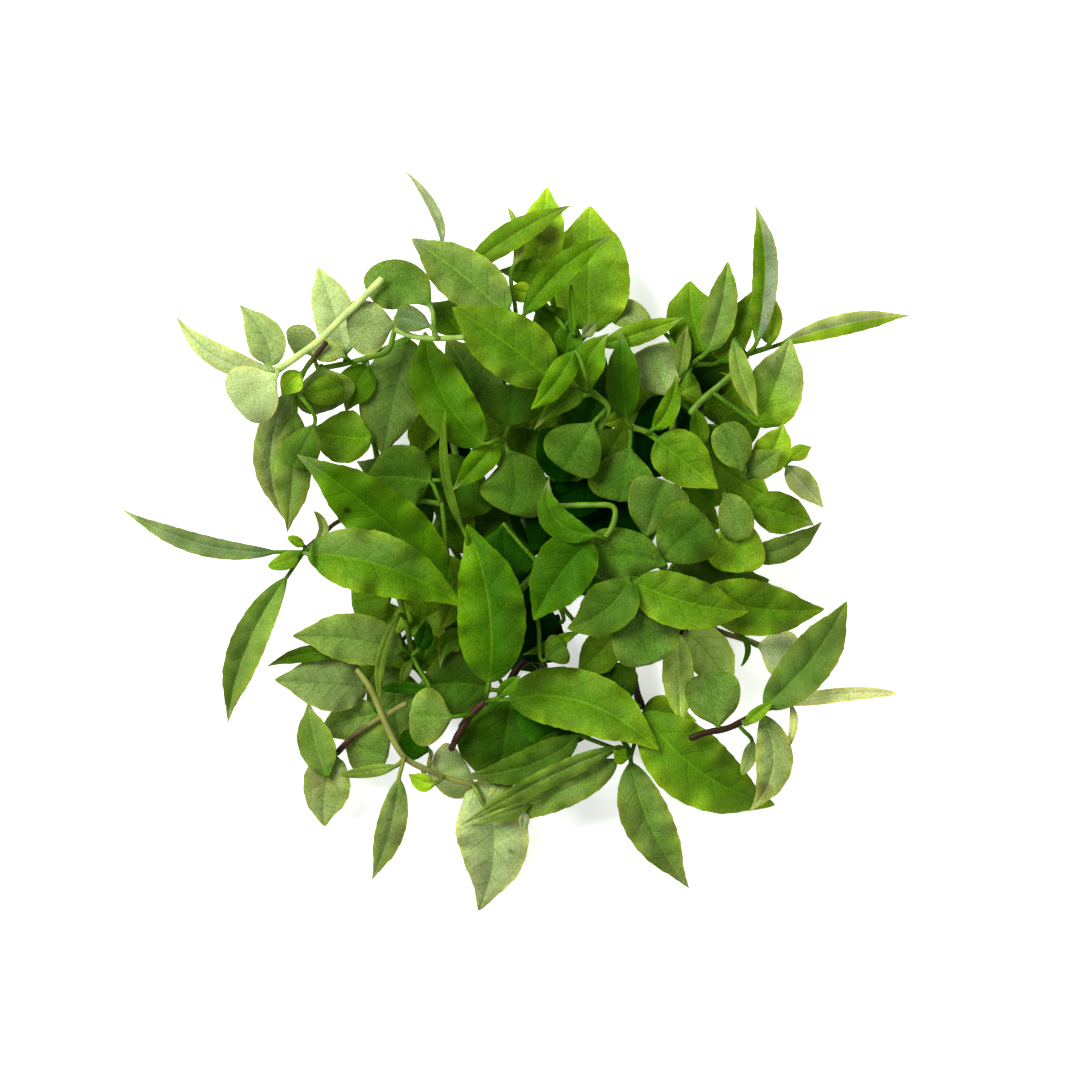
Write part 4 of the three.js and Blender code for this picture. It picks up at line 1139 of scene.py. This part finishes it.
def fine_hairs(points, faces, count, random):
    """Short tapering hairs that stand out of a skin."""
    quads = np.array([face[:4] for face in faces if len(face) == 4])
    picked = quads[random.integers(0, len(quads), count)]
    shares = random.random((count, 2, 1))
    p = points[picked]
    near, far = mix(p[:, 0], p[:, 1], shares[:, 0]), mix(p[:, 3], p[:, 2], shares[:, 0])
    root = mix(near, far, shares[:, 1])
    out = np.cross(p[:, 2] - p[:, 0], p[:, 3] - p[:, 1])
    out /= np.maximum(np.linalg.norm(out, axis=1), 1e-9)[:, None]
    way = out + random.normal(0, HAIR_LEAN, (count, 3))
    way /= np.linalg.norm(way, axis=1)[:, None]
    across = np.cross(way, random.normal(0, 1, (count, 3)))
    across /= np.linalg.norm(across, axis=1)[:, None]
    third = np.cross(way, across)
    length = random.uniform(*HAIR_LENGTH, (count, 1))
    foot = [
        root - out * HAIR_ROOT + HAIR_WIDTH * (across * math.cos(corner) + third * math.sin(corner))
        for corner in HAIR_CORNERS
    ]
    peak = root + way * length
    peak[:, 2] = np.maximum(peak[:, 2], HAIR_LOWEST)
    made = np.stack([*foot, peak], axis=1).reshape(-1, 3)
    made[:, 2] = np.maximum(made[:, 2], 0)
    start = 4 * np.arange(count)[:, None]
    sides = [start + np.array([corner]) for corner in ((0, 1, 3), (1, 2, 3), (2, 0, 3), (0, 2, 1))]
    return made, np.vstack(sides)


def piece(name, node, parts):
    """One object of several closed skins, each with its material and finish."""
    kinds = list(dict.fromkeys(part["kind"] for part in parts))
    points = np.vstack([part["points"] for part in parts])
    faces, slots, start = [], [], 0
    for part in parts:
        faces += [tuple(int(i) + start for i in face) for face in part["faces"]]
        slots += [kinds.index(part["kind"])] * len(part["faces"])
        start += len(part["points"])
    mesh = bpy.data.meshes.new(name)
    mesh.from_pydata(((points - MIDDLE) * MM).tolist(), [], faces)
    for kind in kinds:
        mesh.materials.append(MATERIALS[kind])
    mesh.polygons.foreach_set("material_index", slots)
    mesh.polygons.foreach_set("use_smooth", [True] * len(faces))
    tint = mesh.attributes.new("tint", "FLOAT_COLOR", "POINT")
    colours = np.vstack([part["tint"] for part in parts])
    tint.data.foreach_set("color", np.column_stack([colours, np.ones(len(colours))]).ravel())
    place = mesh.attributes.new("place", "FLOAT_VECTOR", "POINT")
    place.data.foreach_set("vector", np.vstack([part["place"] for part in parts]).ravel())
    for key in ("rim", "back"):
        values = mesh.attributes.new(key, "FLOAT", "POINT")
        values.data.foreach_set("value", np.concatenate([part[key] for part in parts]))
    ends = np.empty(2 * len(mesh.edges), int)
    mesh.edges.foreach_get("vertices", ends)
    margin = np.concatenate([part["margin"] for part in parts])
    sharp = mesh.attributes.new("sharp_edge", "BOOLEAN", "EDGE")
    sharp.data.foreach_set("value", margin[ends.reshape(-1, 2)].all(axis=1))
    mesh.validate()
    mesh.update()
    made = bpy.data.objects.new(name, mesh)
    bpy.context.collection.objects.link(made)
    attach(made, "root")
    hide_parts(node)


def bare(points, faces, tint, kind):
    """A skin that has no rim, back or margin."""
    return {
        "points": points, "faces": faces, "tint": tint, "kind": kind,
        "place": points * 1.0, "rim": np.full(len(points), FAR_FROM_RIM), "back": np.zeros(len(points)),
        "margin": np.zeros(len(points), bool),
    }


# Materials
def add(tree, kind, inputs=(), **settings):
    """Adds a node with its settings, and links or sets its inputs."""
    node = tree.nodes.new(kind)
    for key, value in settings.items():
        setattr(node, key, value)
    for key, value in dict(inputs).items():
        if isinstance(value, bpy.types.NodeSocket):
            tree.links.new(value, node.inputs[key])
        else:
            node.inputs[key].default_value = value
    return node


def maths(tree, operation, *values):
    return add(tree, "ShaderNodeMath", enumerate(values), operation=operation).outputs[0]


def times(tree, a, b):
    return maths(tree, "MULTIPLY", a, b)


def scaled(tree, value, factor, offset):
    return maths(tree, "MULTIPLY_ADD", value, factor, offset)


def noise(tree, place, scale, detail, **more):
    inputs = {"Vector": place, "Scale": scale, "Detail": detail, **more}
    return add(tree, "ShaderNodeTexNoise", inputs).outputs[0]


def fade(tree, value, low, high):
    """1 below low and 0 above high."""
    inputs = {0: value, 1: low, 2: high, 3: 1.0, 4: 0.0}
    return add(tree, "ShaderNodeMapRange", inputs, interpolation_type="SMOOTHSTEP").outputs[0]


def blend(tree, share, a, b, mode="MIX"):
    return add(tree, "ShaderNodeMix", {0: share, 6: a, 7: b}, data_type="RGBA", blend_type=mode).outputs[2]


def changed(tree, skin, factor):
    """Skin times a colour."""
    return blend(tree, 1.0, skin, factor, "MULTIPLY")


def principled(tree, inputs):
    return add(tree, "ShaderNodeBsdfPrincipled", inputs).outputs[0]


def read(tree, name, output="Fac"):
    return add(tree, "ShaderNodeAttribute", attribute_name=name).outputs[output]


def colour(code):
    return (*linear(code), 1.0)


def new_material(name):
    material = bpy.data.materials.new(name)
    material.use_nodes = True
    tree = material.node_tree
    tree.nodes.clear()
    return material, tree


def shaded(tree, skin, shade):
    """Skin times a grey shade."""
    grey = add(tree, "ShaderNodeCombineColor", {0: shade, 1: shade, 2: shade}).outputs[0]
    return changed(tree, skin, grey)


# Patterns of leaf and stem, in waves to a millimetre; cells and spans in millimetres
CLOUD_SCALE = 0.22
PATCH_SCALE = 0.3
GRAIN_SCALE = 3.8
FLECK_SCALE = 2.2
NET_CELL = 1.1
NET_LINE = 0.14
SIDE_VEIN_LINE = 0.3
SIDE_VEIN_RIM = (2.2, 0.8)
MIDRIB_LINE = (0.02, 0.26)
SEED_MIDRIB_LINE = (0.05, 0.5)
SEED_MIDRIB_SPAN = (2.0, 6.0)
VEIN_WANDER = (1.6, -0.8)
CORE_RIM = (1.0, 4.2)
GLOW_RIM = (0.0, 1.8)
EDGE_LIGHT_RIM = (0.05, 0.45)
PATCH_SPAN = (0.36, 0.52)
CORE_SHARE = 0.75
PATCH_SHARE = 0.6
WARM_SHARE = 0.5
CALM_BACK = -0.65
# Shade from a pattern: factor and offset
CLOUD_SHADE = (1.3, 0.4)
TRUE_GRAIN = (1.3, 0.35)
SEED_GRAIN = (1.7, 0.15)
FLECK_SHADE = (0.6, 0.7)
# Changes of colour
DEEPER = (0.62, 0.84, 0.45, 1.0)
WARMER = (1.5, 1.28, 0.6, 1.0)
LIGHTER_VEIN = (1.7, 1.45, 1.5, 1.0)
DARKER_VEIN = (0.5, 0.62, 0.5, 1.0)
GLOW = (1.5, 1.35, 0.5, 1.0)
LEAF_IOR = 1.42
ROUGHER_BACK = 0.15
GLEAM = 0.3


def veins(tree, skin, *layers):
    """Skin under layers of veins, each a mask, a strength and a colour."""
    for mask, strength, vein in layers:
        skin = blend(tree, times(tree, mask, strength), skin, vein)
    return skin


def leaf_material(name, veined):
    """Leaf skin: satin above, matt below, light glowing through the blade."""
    material, tree = new_material(name)
    tint, rim, back = read(tree, "tint", "Color"), read(tree, "rim"), read(tree, "back")
    # The third number, the length of the leaf, keeps the patterns of two leaves apart
    place = read(tree, "place", "Vector")
    along, across, length = add(tree, "ShaderNodeSeparateXYZ", {0: place}).outputs[:]
    away = maths(tree, "ABSOLUTE", across)
    cloud = noise(tree, place, CLOUD_SCALE, 3.0)
    # Skin cells and short velvet catch the light in grains of about 0.3 mm
    grain = noise(tree, place, GRAIN_SCALE, 1.5, Roughness=0.7)
    # Undersides are even and matt
    calm = scaled(tree, back, CALM_BACK, 1.0)
    shade = maths(tree, "SUBTRACT", scaled(tree, cloud, *CLOUD_SHADE), 1.0)
    shade = scaled(tree, shade, calm, 1.0)
    shade = times(tree, shade, scaled(tree, grain, *(TRUE_GRAIN if veined else SEED_GRAIN)))
    skin = shaded(tree, tint, shade)
    # The middle of a broad blade is a deeper green, in soft patches
    core = scaled(tree, fade(tree, rim, *CORE_RIM), -CORE_SHARE, CORE_SHARE)
    patch = noise(tree, place, PATCH_SCALE, 2.0, Distortion=0.6)
    deepest = maths(tree, "MAXIMUM", core, times(tree, fade(tree, patch, *PATCH_SPAN), PATCH_SHARE))
    skin = blend(tree, times(tree, deepest, calm), skin, changed(tree, skin, DEEPER))
    # Margins are thin and let more yellow light out: a painted glow, paler and yellower towards the margin
    paler_glow = changed(tree, skin, WARMER)
    near_rim = times(tree, fade(tree, rim, *GLOW_RIM), WARM_SHARE)
    skin = blend(tree, times(tree, near_rim, calm), skin, paler_glow)
    # Painted rim light: the very edge is lighter still, against the shade on its rounded side
    skin = blend(tree, times(tree, fade(tree, rim, *EDGE_LIGHT_RIM), WARM_SHARE), skin, paler_glow)
    light, dark = changed(tree, skin, LIGHTER_VEIN), changed(tree, skin, DARKER_VEIN)
    if veined:
        cells = {"Vector": place, "Scale": 1 / NET_CELL}
        net = add(tree, "ShaderNodeTexVoronoi", cells, feature="DISTANCE_TO_EDGE").outputs[0]
        net = fade(tree, net, 0.0, NET_LINE)
        # Side veins stand where the quilting of the blade has its furrows, and wander a little
        spacing = maths(tree, "DIVIDE", length, VEIN_PAIRS)
        lean = scaled(tree, away, -VEIN_SLANT, along)
        lean = scaled(tree, times(tree, away, away), -VEIN_CURL, lean)
        lean = maths(tree, "ADD", lean, scaled(tree, cloud, *VEIN_WANDER))
        turn = scaled(tree, maths(tree, "SIGN", across), VEIN_STAGGER, maths(tree, "DIVIDE", lean, spacing))
        off = times(tree, maths(tree, "PINGPONG", turn, 0.5), spacing)
        sides = times(tree, fade(tree, off, 0.0, SIDE_VEIN_LINE), fade(tree, rim, *SIDE_VEIN_RIM))
        midrib = fade(tree, away, *MIDRIB_LINE)
        top = veins(tree, skin, (net, 0.05, dark), (sides, 0.16, dark), (midrib, 0.6, light))
        low = veins(tree, skin, (net, 0.2, dark), (sides, 0.5, dark), (midrib, 0.6, dark))
        height = scaled(tree, sides, -0.6, scaled(tree, net, -0.15, grain))
    else:
        midrib = times(tree, fade(tree, away, *SEED_MIDRIB_LINE), fade(tree, along, *SEED_MIDRIB_SPAN))
        top = veins(tree, skin, (midrib, 0.15, light))
        low = veins(tree, skin, (midrib, 0.2, dark))
        height = grain
    bump = add(tree, "ShaderNodeBump", {"Strength": 0.6, "Distance": 0.00014, "Height": height}).outputs[0]
    # Pale young leaves gleam more than the shaded ones under them
    gleam = times(tree, add(tree, "ShaderNodeSeparateColor", {0: tint}).outputs[1], GLEAM)
    surface = principled(tree, {
        "Base Color": blend(tree, back, top, low),
        "Roughness": scaled(tree, back, ROUGHER_BACK, 0.48 if veined else 0.58),
        "IOR": LEAF_IOR, "Specular IOR Level": gleam, "Normal": bump,
    })
    glow = changed(tree, skin, GLOW)
    through = add(tree, "ShaderNodeBsdfTranslucent", {"Color": glow, "Normal": bump}).outputs[0]
    mixed = add(tree, "ShaderNodeMixShader", {0: 0.22 if veined else 0.14, 1: surface, 2: through}).outputs[0]
    add(tree, "ShaderNodeOutputMaterial", {0: mixed})
    return material


def stem_material():
    """Stem skin: smooth and moist, with faint flecks."""
    material, tree = new_material("stem_skin")
    fleck = noise(tree, read(tree, "place", "Vector"), FLECK_SCALE, 3.0)
    skin = shaded(tree, read(tree, "tint", "Color"), scaled(tree, fleck, *FLECK_SHADE))
    bump = add(tree, "ShaderNodeBump", {"Strength": 0.4, "Distance": 0.0001, "Height": fleck}).outputs[0]
    shader = principled(tree, {
        "Base Color": skin, "Roughness": 0.45, "IOR": LEAF_IOR, "Specular IOR Level": 0.1, "Normal": bump,
    })
    add(tree, "ShaderNodeOutputMaterial", {0: shader})
    return material


def hair_material():
    """Hairs: clear and pale, so that stems look softly frosted at their sides."""
    material, tree = new_material("fine_hair")
    shader = principled(tree, {"Base Color": colour("#7E9446"), "Roughness": 0.5})
    add(tree, "ShaderNodeOutputMaterial", {0: shader})
    return material


def floor_material():
    """Matt white paper on a light table, so that hardly a shadow shows on it."""
    material, tree = new_material("white_paper")
    shader = principled(tree, {
        "Base Color": colour("#F4F4F2"), "Roughness": 0.9,
        "Emission Color": (1, 1, 1, 1), "Emission Strength": 0.5,
    })
    add(tree, "ShaderNodeOutputMaterial", {0: shader})
    return material


MATERIALS = {
    "true_leaf": leaf_material("true_leaf", True),
    "seed_leaf": leaf_material("seed_leaf", False),
    "stem_skin": stem_material(),
    "fine_hair": hair_material(),
}
# Each sprig's small differences come from a draw of its own, which starts here plus its number
FINE_SEED = 700

heap = lay_heap()
corners = np.array([
    corner
    for laid in heap
    for leaf_laid in laid["leaves"]
    for rings, point in [leaf_rings(leaf_laid)]
    for corner in [point, *(p for ring in rings for p in ring)]
])
MIDDLE = (corners.min(axis=0) + corners.max(axis=0)) / 2 * (1, 1, 0)

for number, laid in enumerate(heap):
    random = np.random.default_rng(FINE_SEED + number)
    name, petioles = laid["row"]["name"], laid["row"]["stalk"][1]
    if petioles in ("brown", "purple"):
        petioles = "green"
    # The shaded leaves at the bottom are broad and close the heap
    fullness = LOW_FULLNESS if name.startswith(("lowest", "under")) else FULLNESS
    leaves = [fine_leaf(leaf_laid, petioles, fullness, random) for leaf_laid in laid["leaves"]]
    piece(f"{name}_leaves", name, leaves)
    points, faces, tint = fine_stem(laid, random)
    stem_part = bare(points, faces, tint, "stem_skin")
    count = int(HAIRS_PER_MM * laid["stem"]["route"].length)
    hair_points, hair_faces = fine_hairs(points, faces, count, random)
    hair_part = bare(hair_points, hair_faces, np.ones((len(hair_points), 3)), "fine_hair")
    piece(f"{name}_stem", name, [stem_part, hair_part])

# Floor, light and camera
FLOOR_SIZE = 3.0
CAMERA_HEIGHT = 2.0
MIDDLE_HEIGHT = 0.010
PHOTO_SIZE = 1080
FRAME_WIDTH = PHOTO_SIZE * PLAN_UNIT * MM
FRAME_CENTRE = (from_plan((PHOTO_SIZE / 2, PHOTO_SIZE / 2)) - MIDDLE[:2]) * MM
SENSOR = 36.0
CLIP = (0.05, 10)
DAYLIGHT = 0.42

floor_mesh = bpy.data.meshes.new("floor")
s = FLOOR_SIZE / 2
floor_mesh.from_pydata([(-s, -s, 0), (s, -s, 0), (s, s, 0), (-s, s, 0)], [], [(0, 1, 2, 3)])
floor_mesh.materials.append(floor_material())
floor = bpy.data.objects.new("floor", floor_mesh)
bpy.context.collection.objects.link(floor)


def soft_box(name, place, size, watts):
    """A square lamp that faces the middle of the heap."""
    light = bpy.data.lights.new(name, "AREA")
    light.shape = "RECTANGLE"
    light.size = light.size_y = size
    light.energy = watts
    lamp = bpy.data.objects.new(name, light)
    lamp.location = place
    aim = -np.array(place)
    lamp.rotation_euler = (math.acos(-aim[2] / np.linalg.norm(aim)), 0, math.atan2(-aim[0], aim[1]))
    bpy.context.collection.objects.link(lamp)


soft_box("soft_box_north_west", (-0.75, 0.6, 1.0), 0.8, 46)
soft_box("soft_box_east", (0.9, -0.1, 1.0), 0.9, 6)

world = bpy.data.worlds.new("studio")
world.use_nodes = True
sky = world.node_tree.nodes["Background"].inputs
sky[0].default_value = (1, 1, 1, 1)
sky[1].default_value = DAYLIGHT
scene = bpy.context.scene
scene.world = world
scene.view_settings.view_transform = "Standard"
scene.view_settings.look = "None"

camera = bpy.data.cameras.new("camera")
camera.sensor_width = SENSOR
camera.lens = SENSOR * (CAMERA_HEIGHT - MIDDLE_HEIGHT) / FRAME_WIDTH
camera.clip_start, camera.clip_end = CLIP
eye = bpy.data.objects.new("camera", camera)
eye.location = (*FRAME_CENTRE, CAMERA_HEIGHT)
bpy.context.collection.objects.link(eye)
scene.camera = eye
